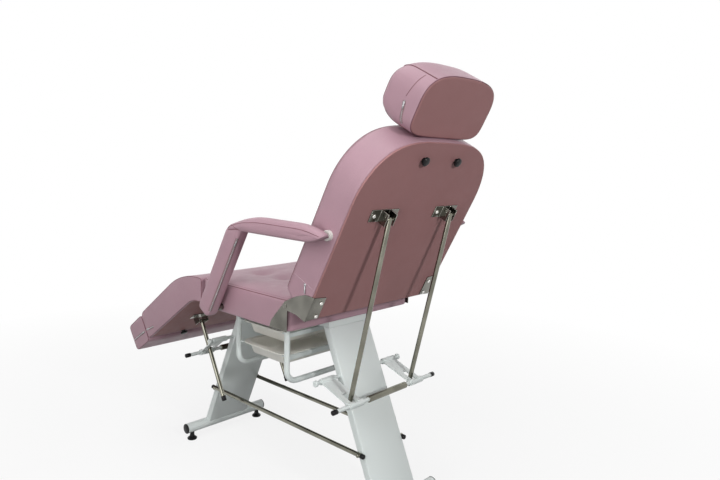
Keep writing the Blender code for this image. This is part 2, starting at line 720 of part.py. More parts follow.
def back_outline():
    """Outline of the backrest across and along: straight sides, a high rounded top."""
    corner = BACK_CORNER
    points = [(-BACK_HALF_W + corner, 0.0), (-BACK_HALF_W * 0.5, 0.0), (0.0, 0.0), (BACK_HALF_W * 0.5, 0.0),
              (BACK_HALF_W - corner, 0.0), (BACK_HALF_W - corner * 0.25, corner * 0.25), (BACK_HALF_W, corner)]
    straight = BACK_LEN - BACK_ARCH
    for i in range(1, 9):
        points.append((BACK_HALF_W, corner + (straight - corner) * i / 8))
    right = []
    for i in range(1, 14):
        turn = math.radians(90.0 * i / 13)
        x = BACK_HALF_W * math.cos(turn) ** BACK_ARCH_POWER
        right.append((x, straight + BACK_ARCH * math.sin(turn)))
    points.extend(right[:-1])
    points.append((0.0, BACK_LEN))
    mirrored = [(-a, b) for a, b in reversed(points[6:-1])]
    return points + mirrored[:-1] + [(-BACK_HALF_W, corner), (-BACK_HALF_W + corner * 0.25, corner * 0.25)]


def make_backrest():
    """Back cushion, its cover panel, hinge plates, strut brackets, clamp knobs and arm bushes."""
    outline = back_outline()

    def slanted(x, s, f):
        fade = max(0.0, 1.0 - s / BACK_HEEL_REACH)
        return on_back(x, s + BACK_HEEL * f * fade, f)

    walls = [(0.007, 0.0), (0.001, 0.006), (0.0, 0.016), (0.004, BACK_T * 0.55), (0.0, BACK_T - 0.018),
             (0.007, BACK_T)]
    tufts = []
    for x in (-BACK_TUFT_X, BACK_TUFT_X):
        for s in BACK_TUFTS:
            tufts.append((x * BACK_HALF_W, s * BACK_LEN, TUFT_DEPTH))
    pad = body("backrest_cushion", cushion(outline, walls, BACK_CROWN, tufts, slanted, (0.0, BACK_LEN * 0.5)),
               VINYL, HINGE)
    panel = body("backrest_panel", slab(drawn_in(outline, PANEL_INSET), PANEL_BACK, -GAP, on_back), BOARD, HINGE)
    for way in (1, -1):
        x = way * CLAMP_X
        post = POST_R + SLIDE_ROOM
        shave(pad, plain_bar(on_back(x, HEAD_LOW - POST_LEN - 0.01, POST_FORE), on_back(x, BACK_LEN + 0.05, POST_FORE),
                             post, 14))
        shave(pad, plain_bar(on_back(x, CLAMP_S, -0.01), on_back(x, CLAMP_S, POST_FORE), STUD_R + PIN_ROOM, 12))
        shave(panel, plain_bar(on_back(x, CLAMP_S, -0.02), on_back(x, CLAMP_S, 0.01), STUD_R + PIN_ROOM, 12))

    seat_face = PANEL_BACK - GAP
    stop = POST_FORE - POST_R - SLIDE_ROOM
    pin = on_back(0.0, BACK_STRUT_S, seat_face - BRACKET_RISE)

    def behind(x, s, rise):
        return on_back(x, BACK_STRUT_S + s, seat_face - rise)

    for side, way in (("left", 1), ("right", -1)):
        x = way * CLAMP_X
        base = on_back(x, CLAMP_S, seat_face)
        body("clamp_knob_" + side, turned(base, -FORE_BACK, knob_profile(stop - seat_face - STUD_ROOM), 18), BLACK, base)
        make_bracket("back_bracket_" + side, way * BACK_STRUT_X, BRACKET_HALF_W, behind, pin)
        bush = HINGE + Vector((way * (BACK_HALF_W + GAP), BUSH_Y, BUSH_Z))
        length = ARM_IN_X - BACK_HALF_W - 2 * GAP
        body("arm_bush_" + side, turned(
            bush, ACROSS * way, [(0.0, BUSH_R), (length - 0.001, BUSH_R), (length, BUSH_R - 0.001)], 20), NYLON)
    return pin


def make_hinges():
    """Hinge plates at the sides: a leaf on the seat with the pin, a folded leaf on the backrest."""
    low = SEAT_BASE_Z + 0.0015
    leaf = [(HINGE_Y + 0.003, low), (HINGE_Y - 0.075, low + 0.003), (HINGE_Y - 0.068, low + 0.022),
            (HINGE_Y - 0.045, HINGE_Z - 0.030), (HINGE_Y - 0.022, HINGE_Z - 0.006), (HINGE_Y - 0.010, HINGE_Z + 0.008),
            (HINGE_Y - 0.002, HINGE_Z + 0.0095), (HINGE_Y + 0.0045, HINGE_Z + 0.006)]
    flange = PANEL_BACK - GAP
    fold_back = flange - SHEET
    back_leaf = [(-HINGE_LOW - 0.010, HINGE_FORE - 0.004), (-HINGE_LOW - 0.004, HINGE_FORE + 0.008),
                 (-HINGE_LOW + 0.010, HINGE_FORE + 0.008), (0.020, HINGE_FORE - 0.006), (0.045, HINGE_FORE - 0.026),
                 (0.072, HINGE_FORE - 0.055), (0.084, flange), (0.084, fold_back), (0.002, fold_back),
                 (0.002, flange), (-0.003, 0.030), (-0.012, 0.055)]
    for side, way in (("left", 1), ("right", -1)):
        inside = way * SEAT_PLATE_X
        outside = way * (SEAT_PLATE_X + SHEET)
        plate = body("seat_hinge_" + side, slab(leaf, inside, outside, sideways), STEEL)
        soften(plate, 0.0006)
        root = Vector((outside - way * PIN_ROOT, HINGE_Y, HINGE_Z))
        grip = BACK_PLATE_X + SHEET + GAP - SEAT_PLATE_X - SHEET + PIN_ROOT
        weld(plate, turned(root, ACROSS * way, [
            (0.0, HINGE_PIN_R), (grip, HINGE_PIN_R), (grip, HINGE_HEAD_R), (grip + HINGE_HEAD_T * 0.5, HINGE_HEAD_R * 0.85),
            (grip + HINGE_HEAD_T, HINGE_HEAD_R * 0.35)], 14))

        def on_side(s, f, x):
            return on_back(x, s, f)

        near = way * BACK_PLATE_X
        far = way * (BACK_PLATE_X + SHEET)
        back_plate = body("back_hinge_" + side, slab(back_leaf, near, far, on_side), STEEL, HINGE)
        edge = way * (BACK_PLATE_X + SHEET)
        tip = way * (BACK_PLATE_X - HINGE_WING)
        strip = [(tip, 0.006), (edge, 0.002), (edge, 0.084), (tip, 0.078)]
        weld(back_plate, slab(strip, fold_back, flange, on_back))
        shave(back_plate, plain_bar((near - way * 0.01, HINGE_Y, HINGE_Z), (far + way * 0.01, HINGE_Y, HINGE_Z),
                                    HINGE_PIN_R + PIN_ROOM, 14))


def make_headrest():
    """Pillow headrest on two posts that slide into the top of the backrest."""
    middle = HEAD_LOW + HEAD_LEN / 2
    raw = rounded_box(-HEAD_HALF_W, HEAD_HALF_W, HEAD_LOW, HEAD_LOW + HEAD_LEN,
                      HEAD_LEN * HEAD_CORNER, 5, 5)
    outline = []
    for x, s in raw:
        share = (s - middle) / (HEAD_LEN / 2)
        narrow = 1.0 - HEAD_NARROW_TOP * max(share, 0.0) ** 2 - HEAD_NARROW_LOW * max(-share, 0.0) ** 2
        outline.append((x * narrow, s))
    walls = [(0.007, 0.0), (0.002, 0.005), (0.0, 0.016), (-HEAD_BULGE, HEAD_T * 0.5), (0.0, HEAD_T * 0.80),
             (0.009, HEAD_T * 0.93)]

    def ahead(x, s, f):
        return on_back(x, s, HEAD_BACK + f)

    pad = body("headrest_cushion", cushion(outline, walls, HEAD_T * 0.07, [], ahead, (0.0, middle)), VINYL,
               on_back(0.0, HEAD_LOW, POST_FORE))
    for way in (1, -1):
        x = way * CLAMP_X
        weld(pad, plain_bar(on_back(x, HEAD_LOW - POST_LEN, POST_FORE), on_back(x, HEAD_LOW + 0.05, POST_FORE),
                            POST_R, 14))


def make_legrest():
    """Legrest pad, its hinge pin, the sliding foot pad with runners, and the clamp knob."""
    rear = LEG_HINGE.y - LEG_GAP / 2
    hinge_z = LEG_HINGE.z
    low = FRAME_TOP + LEG_TAIL

    def slope(u, v):
        point = on_leg(0.0, u, v)
        return (point.y, point.z)

    top = LEG_RISE
    under = -LEG_UNDER
    end = LEG_LEN
    profile = [(rear, hinge_z - 0.006), (rear, hinge_z + LEG_NOSE), (rear - 0.010, hinge_z + LEG_NOSE + 0.004),
               (rear - 0.032, hinge_z + LEG_NOSE + 0.007), slope(end * 0.148, top * 0.65), slope(end * 0.25, top * 0.85),
               slope(end * 0.36, top * 0.97), slope(end * 0.468, top), slope(end * 0.588, top), slope(end * 0.72, top),
               slope(end * 0.858, top - 0.002), slope(end * 0.94, top - 0.006), slope(end - 0.008, top - 0.018),
               slope(end, top - 0.036), slope(end, 0.020), slope(end, under + 0.014), slope(end - 0.006, under + 0.004),
               slope(end - 0.018, under), slope(end * 0.74, under), slope(end * 0.545, under), slope(end * 0.36, under),
               slope(end * 0.24, under - 0.004), (rear - 0.030, low), (rear - 0.006, low), (rear, low + 0.008)]
    half = SEAT_HALF_W
    stations = [(-half, 0.007, 0.0), (-half + 0.004, 0.002, 0.0), (-half + 0.014, 0.0, 0.001),
                (-half * 0.72, 0.0, LEG_CROWN * 0.6), (-half * 0.36, 0.0, LEG_CROWN * 0.8), (0.0, 0.0, LEG_CROWN)]
    stations.extend([(-x, inset, lift) for x, inset, lift in reversed(stations[:-1])])
    pad = body("legrest_cushion", padded_side(profile, stations), VINYL, LEG_HINGE)
    reach = half - SEAT_CORNER
    body("legrest_hinge_pin", plain_bar(LEG_HINGE - ACROSS * reach, LEG_HINGE + ACROSS * reach,
                                        LEG_GAP / 2 - GAP, 10), STEEL)

    start = end + FOOT_GAP
    stop = start + FOOT_LEN
    high = FOOT_RISE
    base = -FOOT_UNDER
    foot_profile = [slope(start + 0.006, high - 0.012), slope(start + 0.022, high - 0.004),
                    slope(start + FOOT_LEN * 0.5, high + 0.003), slope(stop - 0.020, high + 0.002),
                    slope(stop - 0.006, high - 0.004), slope(stop, high - 0.018), slope(stop + 0.002, high * 0.35),
                    slope(stop, base + 0.016), slope(stop - 0.008, base + 0.003), slope(stop - 0.026, base),
                    slope(start + FOOT_LEN * 0.5, base - 0.002), slope(start + 0.022, base),
                    slope(start + 0.006, base + 0.006), slope(start, base + 0.020), slope(start, high * 0.4)]
    foot_stations = [(x, inset, lift * 0.4) for x, inset, lift in stations]
    foot = body("foot_pad", padded_side(foot_profile, foot_stations), VINYL, on_leg(0.0, start, RUNNER_V))
    for way in (1, -1):
        x = way * RUNNER_X
        weld(foot, plain_bar(on_leg(x, start - RUNNER_LEN, RUNNER_V), on_leg(x, start + 0.04, RUNNER_V), RUNNER_R, 14))
        shave(pad, plain_bar(on_leg(x, start - RUNNER_LEN - 0.01, RUNNER_V), on_leg(x, end + 0.03, RUNNER_V),
                             RUNNER_R + SLIDE_ROOM, 14))
    at = end - FOOT_KNOB_BACK
    shave(pad, plain_bar(on_leg(RUNNER_X, at, under - 0.02), on_leg(RUNNER_X, at, RUNNER_V), STUD_R + PIN_ROOM, 12))
    seat_face = under - GAP
    deep = RUNNER_V - RUNNER_R - SLIDE_ROOM - seat_face - STUD_ROOM
    base_at = on_leg(RUNNER_X, at, seat_face)
    body("foot_knob", turned(base_at, -OVER_LEG, knob_profile(deep), 18), BLACK, base_at)

    pin = on_leg(0.0, LEG_STRUT_U, seat_face - BRACKET_RISE)

    def below(x, w, rise):
        return on_leg(x, LEG_STRUT_U - w, seat_face - rise)

    for side, way in (("left", 1), ("right", -1)):
        make_bracket("leg_bracket_" + side, way * LEG_STRUT_X, LEG_BRACKET_HALF_W, below, pin)
    return pin


def make_armrests():
    """Leaning posts with a rounded elbow, level pads with a hollow over the elbow, and the lower lugs."""
    up = Vector((math.sin(POST_LEAN), math.cos(POST_LEAN)))
    fore = Vector((-math.cos(POST_LEAN), math.sin(POST_LEAN)))
    elbow = Vector((ELBOW_Y, SEAT_BASE_Z + ELBOW_OVER_SEAT))
    foot = elbow - Vector((BUSH_Y, BUSH_Z))
    knuckle = POST_HALF_T + ELBOW_Q

    def on_post(t, q):
        point = elbow + up * t + fore * (q + ELBOW_Q)
        return (point.x, point.y)

    low = (foot - elbow).dot(up) - 0.014
    half = POST_HALF_T
    post = [on_post(low + 0.018, half), on_post(low * 0.75, half), on_post(low * 0.5, half), on_post(low * 0.25, half)]
    last = math.acos((-half + ELBOW_Q) / knuckle)
    for i in range(9):
        turn = last * i / 8
        post.append(on_post(knuckle * math.sin(turn), knuckle * math.cos(turn) - ELBOW_Q))
    post.extend([on_post(low * 0.25, -half), on_post(low * 0.5, -half), on_post(low * 0.75, -half),
                 on_post(low + 0.018, -half), on_post(low + 0.005, -half + 0.006), on_post(low, -half + 0.018),
                 on_post(low, half - 0.018), on_post(low + 0.005, half - 0.006)])

    under = elbow.y + PAD_UNDER
    high = under + PAD_T
    hollow = knuckle + ARM_ROOM
    front = elbow.x - PAD_FRONT
    behind = elbow.x + PAD_BEHIND
    roof = elbow.y + hollow
    pad = [(front, roof), (front + 0.001, roof + 0.006), (front + 0.009, roof + 0.012), (front + 0.050, high - 0.010),
           (front + 0.100, high - 0.003), (front + 0.160, high), (front + 0.240, high), (front + 0.310, high - 0.001),
           (behind - 0.050, high - 0.004), (behind - 0.020, high - 0.010), (behind - 0.003, high - 0.022),
           (behind, high - 0.030), (behind - 0.004, under + 0.010), (behind - 0.022, under + 0.003),
           (behind - 0.060, under), (front + 0.240, under), (front + 0.160, under), (front + 0.100, under)]
    first = math.asin(PAD_UNDER / hollow)
    for i in range(6):
        turn = first + (math.pi / 2 - first) * i / 5
        pad.append((elbow.x + hollow * math.cos(turn), elbow.y + hollow * math.sin(turn)))

    lug = []
    lug_way = Vector((math.cos(LUG_DIP), -math.sin(LUG_DIP)))
    lug_side = Vector((math.sin(LUG_DIP), math.cos(LUG_DIP)))
    for k, centre in enumerate((foot + lug_way * LUG_LEN, foot)):
        for i in range(7):
            turn = math.radians(-90.0 + 180.0 * k + 30.0 * i)
            point = centre + (lug_way * math.cos(turn) + lug_side * math.sin(turn)) * LUG_R
            lug.append((point.x, point.y))

    for side, way in (("left", 1), ("right", -1)):
        def across_arm(width, edge):
            rows = [(0.0, edge, 0.0), (edge * 1.2, edge * 0.3, 0.0), (edge * 2.6, 0.0, 0.0)]
            rows.extend([(width - x, inset, lift) for x, inset, lift in reversed(rows)])
            return [(way * (ARM_IN_X + x), inset, lift) for x, inset, lift in rows]

        body("arm_post_" + side, padded_side(post, across_arm(POST_W, 0.004)), VINYL,
             (way * ARM_IN_X, foot.x, foot.y))
        body("arm_pad_" + side, padded_side(pad, across_arm(PAD_W, 0.0025)), VINYL,
             (way * ARM_IN_X, elbow.x, elbow.y))
        body("arm_lug_" + side, slab(lug, way * (SEAT_HALF_W + GAP), way * (ARM_IN_X - GAP), sideways), STEEL)


make_feet()
make_legs()
make_stretchers()
make_seat()
make_hangers()
make_trays()
back_pin = make_backrest()
make_hinges()
make_headrest()
leg_pin = make_legrest()
make_armrests()
back_hole = make_release("rear", True, ROD_Z_REAR, PLATE_DIP_REAR, PLATE_LEN_REAR, HOLE_AT_REAR, BACK_STRUT_X)
leg_hole = make_release("front", False, ROD_Z_FRONT, PLATE_DIP_FRONT, PLATE_LEN_FRONT, HOLE_AT_FRONT, LEG_STRUT_X)
for side_name, way_x in (("left", 1), ("right", -1)):
    make_strut("back_strut_" + side_name, back_pin, back_hole, BACK_STRUT_TAIL, way_x * BACK_STRUT_X)
    make_strut("leg_strut_" + side_name, leg_pin, leg_hole, LEG_STRUT_TAIL, way_x * LEG_STRUT_X)

# Centre the couch along Y
shown = [item for item in bpy.data.objects if not item.hide_render]
ends = [item.location.y + vert.co.y for item in shown for vert in item.data.vertices]
middle_y = (min(ends) + max(ends)) / 2
for item in bpy.data.objects:
    item.location.y -= middle_y
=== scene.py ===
"""Looks of the treatment couch: padded vinyl, seams, zips, caps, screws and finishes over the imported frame.

Metres, +Z up.  Points of the back are measured across, up along the back and forward of its back face.
Points of the legrest are measured across, down its slope and over its hinge line.
"""

import json
import math

import bmesh
import bpy
import numpy as np
from mathutils import Matrix


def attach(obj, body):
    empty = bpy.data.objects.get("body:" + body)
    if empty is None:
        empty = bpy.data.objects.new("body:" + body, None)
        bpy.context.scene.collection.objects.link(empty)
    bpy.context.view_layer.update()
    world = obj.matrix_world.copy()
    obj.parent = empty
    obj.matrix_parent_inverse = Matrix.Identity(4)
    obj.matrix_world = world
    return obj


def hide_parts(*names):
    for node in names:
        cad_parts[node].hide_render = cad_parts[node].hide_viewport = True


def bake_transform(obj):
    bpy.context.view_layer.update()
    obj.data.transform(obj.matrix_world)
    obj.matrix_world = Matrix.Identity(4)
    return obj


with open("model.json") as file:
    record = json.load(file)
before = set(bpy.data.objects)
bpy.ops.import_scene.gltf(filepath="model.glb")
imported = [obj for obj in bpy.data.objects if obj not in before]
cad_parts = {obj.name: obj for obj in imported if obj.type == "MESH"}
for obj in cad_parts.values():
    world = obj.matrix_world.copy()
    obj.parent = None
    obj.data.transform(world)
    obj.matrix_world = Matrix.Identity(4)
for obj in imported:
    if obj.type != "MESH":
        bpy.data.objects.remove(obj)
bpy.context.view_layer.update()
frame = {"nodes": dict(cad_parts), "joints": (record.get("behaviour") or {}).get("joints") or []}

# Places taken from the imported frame
JOINTS = {joint["name"]: joint for joint in frame["joints"]}
X = np.array([1.0, 0.0, 0.0])
Y = np.array([0.0, 1.0, 0.0])
Z = np.array([0.0, 0.0, 1.0])


def joint_at(name):
    """Point on a joint's axis."""
    return np.array(JOINTS[name]["pos_m"], float)


def joint_axis(name):
    """Direction of a joint's axis."""
    return np.array(JOINTS[name]["axis"], float)


def corner_points(data):
    """All points of a mesh as an array of rows."""
    flat = np.empty(len(data.vertices) * 3)
    data.vertices.foreach_get("co", flat)
    return flat.reshape(-1, 3)


def at(place, a, b, c):
    """Point of a local frame: its origin plus a, b and c times its three axes."""
    origin, first, second, third = place
    return (origin + np.multiply.outer(a, first) + np.multiply.outer(b, second)
            + np.multiply.outer(c, third))


def within(place, points):
    """Local coordinates of points: their offsets from the origin along the three axes."""
    return (points - place[0]) @ np.array(place[1:]).T


def node_box(place, name):
    """Lowest and highest local coordinates of a CAD node."""
    local = within(place, corner_points(frame["nodes"][name].data))
    return local.min(axis=0), local.max(axis=0)


def across_of(way):
    """The direction across a lean, a quarter turn from it in the YZ plane."""
    return np.array([0.0, -way[2], way[1]])


back_up = joint_axis("headrest_slide")
leg_down = joint_axis("foot_pad_slide")
BACK = (joint_at("recline"), X, back_up, across_of(back_up))
LEG = (joint_at("legrest_fold"), X, leg_down, -across_of(leg_down))
panel_low, panel_high = node_box(BACK, "backrest_panel")
PANEL_INSET = 0.001
FIT = 0.0003
BACK = (at(BACK, 0.0, panel_low[1] - PANEL_INSET, panel_high[2] + FIT), *BACK[1:])
seat_low, seat_high = node_box((np.zeros(3), X, Y, Z), "seat_cushion")
SEAT = (np.array([0.0, seat_high[1], 0.0]), X, Y, Z)

# Sizes of the padded pieces
SEAT_HALF = seat_high[0]
SEAT_DEPTH = seat_high[1] - seat_low[1]
SEAT_BASE = seat_low[2]
SEAT_SEAM = SEAT_BASE + 0.093
SEAT_CORNER = 0.030
SEAT_GRID = (66, 52)
SEAT_TUFTS = np.array([(x * SEAT_HALF, -share * SEAT_DEPTH)
                       for share in (0.25, 0.52, 0.77) for x in (-0.36, 0.36)])
TUFT_DEPTH = 0.016
TUFT_RADIUS = 0.040
TUFT_STITCH = 0.012
FOLD_DEPTH = 0.0040
FOLD_RADIUS = 0.026
BACK_HALF = node_box(BACK, "backrest_cushion")[1][0]
BACK_LEN = 0.567
BACK_T = 0.107
BACK_ARCH = 0.190
BACK_ARCH_POWER = 0.56
BACK_CORNER = 0.016
BACK_HEEL = 0.294
BACK_HEEL_REACH = 0.160
BACK_GRID = (62, 60)
BACK_TUFTS = np.array([(x * BACK_HALF, share * BACK_LEN)
                       for share in (0.28, 0.48, 0.68) for x in (-0.34, 0.34)])
HEAD_HALF = 0.165
HEAD_LOW = 0.569
HEAD_TOP = 0.745
HEAD_MIDDLE = 0.652
HEAD_BACK = 0.016
HEAD_T = 0.137
HEAD_RIM = 15
HEAD_GRID = (44, 22)
POST_X = 0.076
POST_R = 0.008
POST_FORE = 0.050
POST_LEN = 0.150
LEG_LEN = 0.459
LEG_TOP = 0.080
LEG_UNDER = 0.0278
LEG_GRID = (46, 13)
FOOT_START = 0.4608
FOOT_LEN = 0.117
FOOT_TOP = 0.071
FOOT_UNDER = 0.0345
FOOT_GRID = (14, 14)
RUNNER_X = 0.141
RUNNER_V = 0.018
RUNNER_LEN = 0.190
RUNNER_R = 0.008
ELBOW = joint_at("arm_pad_left_level")
ARM_FOOT = joint_at("arm_post_left_swing")
ARM = (ELBOW, Y, Z, X)
ARM_LEAN = math.radians(30.4)
ARM_W = 0.042
ARM_HALF_T = 0.031
ARM_SET_BACK = 0.017
ARM_FOOT_DROP = 0.014
ARM_UNDER = 0.0354
ARM_HIGH = 0.0830
ARM_REAR = 0.388
SHEET = 0.003
SWELL_STEPS = 20

# Places and sizes of the screws and plugs
HINGE_SCREW_X = 0.2495
HINGE_SCREWS_UP = (0.015, 0.061)
BRACKET_X = 0.1425
BRACKET_UP = 0.3434
BRACKET_SCREW = 0.043
LEG_BRACKET_X = 0.150
LEG_BRACKET_DOWN = 0.281
LEG_BRACKET_SCREW = 0.028
STRUT_R = 0.0075
STRETCHER_R = 0.0075
RELEASE_R = 0.0065
PLUG_WALL = 0.0011
PLUG_LEN = 0.016
FLUSH_WALL = 0.0002
FLUSH_LEN = 0.010


# Shapes as whole arrays
def rounded_outline(corners, cuts, steps=9):
    """Closed outline of straight runs, each corner rounded by a quadratic arc that starts its cut away."""
    corners = np.asarray(corners, float)
    cuts = np.asarray(cuts, float)[:, None]
    to_next = np.roll(corners, -1, axis=0) - corners
    to_last = np.roll(corners, 1, axis=0) - corners
    to_next = to_next / np.linalg.norm(to_next, axis=1, keepdims=True)
    to_last = to_last / np.linalg.norm(to_last, axis=1, keepdims=True)
    t = np.linspace(0.0, 1.0, steps)[None, :, None]
    first = (corners + to_last * cuts)[:, None]
    last = (corners + to_next * cuts)[:, None]
    return ((1 - t) ** 2 * first + 2 * t * (1 - t) * corners[:, None] + t ** 2 * last).reshape(-1, 2)


def evenly(points, count):
    """Count + 1 points along a polyline, equal lengths apart."""
    steps = np.linalg.norm(np.diff(points, axis=0), axis=1)
    length = np.concatenate([[0.0], np.cumsum(steps)])
    where = np.linspace(0.0, length[-1], count + 1)
    return np.column_stack([np.interp(where, length, column) for column in points.T])


def sampled(outline, marks, counts):
    """Rim loop: a closed outline cut at the marks, each run between them divided evenly by its count."""
    turned = np.roll(outline, -marks[0], axis=0)
    turned = np.vstack([turned, turned[:1]])
    cuts = [mark - marks[0] for mark in marks] + [len(outline)]
    return np.vstack([evenly(turned[cuts[k]:cuts[k + 1] + 1], counts[k])[:-1] for k in range(len(counts))])


def inward(loop):
    """Unit normals that point into a closed loop: the tangent turned a quarter, by the loop's sense."""
    ahead = np.roll(loop, -1, axis=0)
    tangent = ahead - np.roll(loop, 1, axis=0)
    normal = np.column_stack([-tangent[:, 1], tangent[:, 0]])
    sense = np.sign(np.sum(loop[:, 0] * ahead[:, 1] - ahead[:, 0] * loop[:, 1]))
    return sense * normal / np.linalg.norm(normal, axis=1, keepdims=True)


def cap_patch(loop, across, along):
    """Coons patch of a rim loop: the two blends of opposite sides less the blend of the four corners."""
    closed = np.vstack([loop, loop[:1]])
    low = closed[:across + 1][:, None]
    high = closed[across + along:2 * across + along + 1][::-1][:, None]
    right = closed[across:across + along + 1][None]
    left = closed[2 * across + along:][::-1][None]
    u = np.linspace(0.0, 1.0, across + 1)[:, None, None]
    v = np.linspace(0.0, 1.0, along + 1)[None, :, None]
    corners = ((1 - u) * (1 - v) * low[0] + u * (1 - v) * low[-1]
               + (1 - u) * v * high[0] + u * v * high[-1])
    return (1 - v) * low + v * high + (1 - u) * left + u * right - corners


def cap_numbers(ring, across, along, first):
    """Vertex numbers of a cap's grid: the ring's own on the four sides, new ones from first inside."""
    closed = np.append(ring, ring[0])
    grid = np.empty((across + 1, along + 1), int)
    grid[1:-1, 1:-1] = first + np.arange((across - 1) * (along - 1)).reshape(across - 1, along - 1)
    grid[:, 0] = closed[:across + 1]
    grid[-1, :] = closed[across:across + along + 1]
    grid[:, -1] = closed[across + along:2 * across + along + 1][::-1]
    grid[0, :] = closed[2 * across + along:][::-1]
    return grid


def quads(grid):
    """Four-cornered faces between the neighbours of a grid of vertex numbers."""
    return np.stack([grid[:-1, :-1], grid[1:, :-1], grid[1:, 1:], grid[:-1, 1:]], axis=-1).reshape(-1, 4)


def dome(across, along, power):
    """Rise of a cap over its rim: one in the middle and nothing on the four sides."""
    u = np.abs(np.linspace(-1.0, 1.0, across + 1))[:, None]
    v = np.abs(np.linspace(-1.0, 1.0, along + 1))[None]
    return (1 - u ** power) * (1 - v ** power)


def dimples(points, tufts):
    """Depth of the sewn tufts: the sum of round bell shapes about each tuft."""
    if len(tufts) == 0:
        return np.zeros(points.shape[:-1])
    apart = np.sum((points[..., None, :] - tufts) ** 2, axis=-1)
    return TUFT_DEPTH * np.sum(np.exp(-apart / TUFT_RADIUS ** 2), axis=-1)


def folds(points, tufts):
    """Depth of the soft folds between tufts: bell shapes about the straight runs that join them."""
    depth = np.zeros(points.shape[:-1])
    for first, second in ((0, 1), (2, 3), (4, 5), (0, 2), (2, 4), (1, 3), (3, 5)):
        if second < len(tufts):
            run = tufts[second] - tufts[first]
            share = np.clip((points - tufts[first]) @ run / (run @ run), 0.0, 1.0)
            apart = np.sum((points - tufts[first] - share[..., None] * run) ** 2, axis=-1)
            depth = np.maximum(depth, FOLD_DEPTH * np.exp(-apart / FOLD_RADIUS ** 2))
    return depth


def padded_block(loop, across, along, rows, rise, tufts=()):
    """Closed block: wall rings at the rows' insets and heights, and a domed Coons cap at both ends.

    Returns its points (two in the outline's plane and a height), faces, ring numbers and cap numbers.
    """
    insets, heights = np.array(rows).T
    rings = loop[None] + insets[:, None, None] * inward(loop)[None]
    count = len(loop)
    ring = np.arange(len(rows) * count).reshape(len(rows), count)
    inside = (across - 1) * (along - 1)
    low = cap_numbers(ring[0], across, along, ring.size)
    high = cap_numbers(ring[-1], across, along, ring.size + inside)
    points = np.zeros((ring.size + 2 * inside, 3))
    points[:ring.size, :2] = rings.reshape(-1, 2)
    points[:ring.size, 2] = np.repeat(heights, count)
    for grid, turn, lift in ((low, 0, rise[0]), (high, -1, rise[1])):
        patch = cap_patch(rings[turn], across, along)
        points[grid, :2] = patch
        points[grid, 2] = heights[turn] + lift * dome(across, along, 2.6)
    sunk = np.maximum(dimples(points[high, :2], tufts), folds(points[high, :2], tufts))
    points[high, 2] -= sunk * dome(across, along, 6.0)
    wall = np.hstack([ring, ring[:, :1]])
    faces = np.vstack([quads(wall.T), quads(high), quads(low)[:, ::-1]])
    return points, faces, ring, low, high


def swept(path, outward, section, closed=False):
    """Section of (side, out) pairs carried along a path; side is the tangent crossed with outward."""
    if closed:
        tangent = np.roll(path, -1, axis=0) - np.roll(path, 1, axis=0)
    else:
        tangent = np.gradient(path, axis=0)
    tangent = tangent / np.linalg.norm(tangent, axis=1, keepdims=True)
    side = np.cross(tangent, outward)
    side = side / np.linalg.norm(side, axis=1, keepdims=True)
    out = np.cross(side, tangent)
    section = np.asarray(section, float)
    return (path[:, None] + section[None, :, :1] * side[:, None] + section[None, :, 1:] * out[:, None])


def loft_faces(rings, sides, closed):
    """Faces of a tube of rings: quads all round, with a flat end at both ends where the tube is open."""
    grid = np.arange(rings * sides).reshape(rings, sides)
    ends = [] if closed else [grid[0, ::-1].tolist(), grid[-1].tolist()]
    grid = np.hstack([grid, grid[:, :1]])
    if closed:
        grid = np.vstack([grid, grid[:1]])
    return quads(grid).tolist() + ends


def circle(radius, sides):
    """Round section: cosine and sine of equal turns times the radius."""
    turn = np.arange(sides) * 2 * math.pi / sides
    return radius * np.column_stack([np.cos(turn), np.sin(turn)])


def spun(start, axis, profile, sides):
    """Turned shape: each (distance, radius) of the profile is a circle about the axis at that distance."""
    axis = axis / np.linalg.norm(axis)
    side = np.cross(axis, Z if abs(axis[2]) < 0.9 else X)
    side = side / np.linalg.norm(side)
    over = np.cross(axis, side)
    profile = np.asarray(profile, float)
    ring = circle(1.0, sides) @ np.array([side, over])
    return start + profile[:, None, :1] * axis + profile[:, None, 1:] * ring[None]


def blocks(centres, along, out, half):
    """Row of small blocks: each centre plus or minus the half sizes along, aside and out."""
    along = along / np.linalg.norm(along, axis=1, keepdims=True)
    aside = np.cross(out, along)
    aside = aside / np.linalg.norm(aside, axis=1, keepdims=True)
    axes = np.stack([along, aside, np.cross(along, aside)], axis=1)
    signs = np.array([(a, b, c) for c in (-1, 1) for a, b in ((-1, -1), (1, -1), (1, 1), (-1, 1))], float)
    points = centres[:, None] + np.einsum("kc,ncd->nkd", signs * np.asarray(half), axes)
    sides = np.array([(3, 2, 1, 0), (4, 5, 6, 7), (0, 1, 5, 4), (1, 2, 6, 5), (2, 3, 7, 6), (3, 0, 4, 7)])
    faces = 8 * np.arange(len(centres))[:, None, None] + sides[None]
    return points.reshape(-1, 3), faces.reshape(-1, 4)


# Meshes
def outward_faces(data):
    """Turns every face of a closed mesh outwards."""
    work = bmesh.new()
    work.from_mesh(data)
    bmesh.ops.recalc_face_normals(work, faces=work.faces)
    work.to_mesh(data)
    work.free()


def hold(made, body):
    """Puts a piece on its body, bakes its place into its points when given the two bodies of a joint, or
    leaves it for later.
    """
    if isinstance(body, str):
        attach(made, body)
    elif body is not None:
        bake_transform(made)


def piece(name, points, faces, look, body):
    """Mesh object of a new piece, smooth shaded, on its body and material slot."""
    data = bpy.data.meshes.new(name)
    faces = faces.tolist() if isinstance(faces, np.ndarray) else faces
    data.from_pydata(np.reshape(points, (-1, 3)).tolist(), [], faces)
    outward_faces(data)
    data.polygons.foreach_set("use_smooth", np.ones(len(data.polygons), bool))
    data.materials.append(look)
    made = bpy.data.objects.new(name, data)
    bpy.context.scene.collection.objects.link(made)
    hold(made, body)
    return made


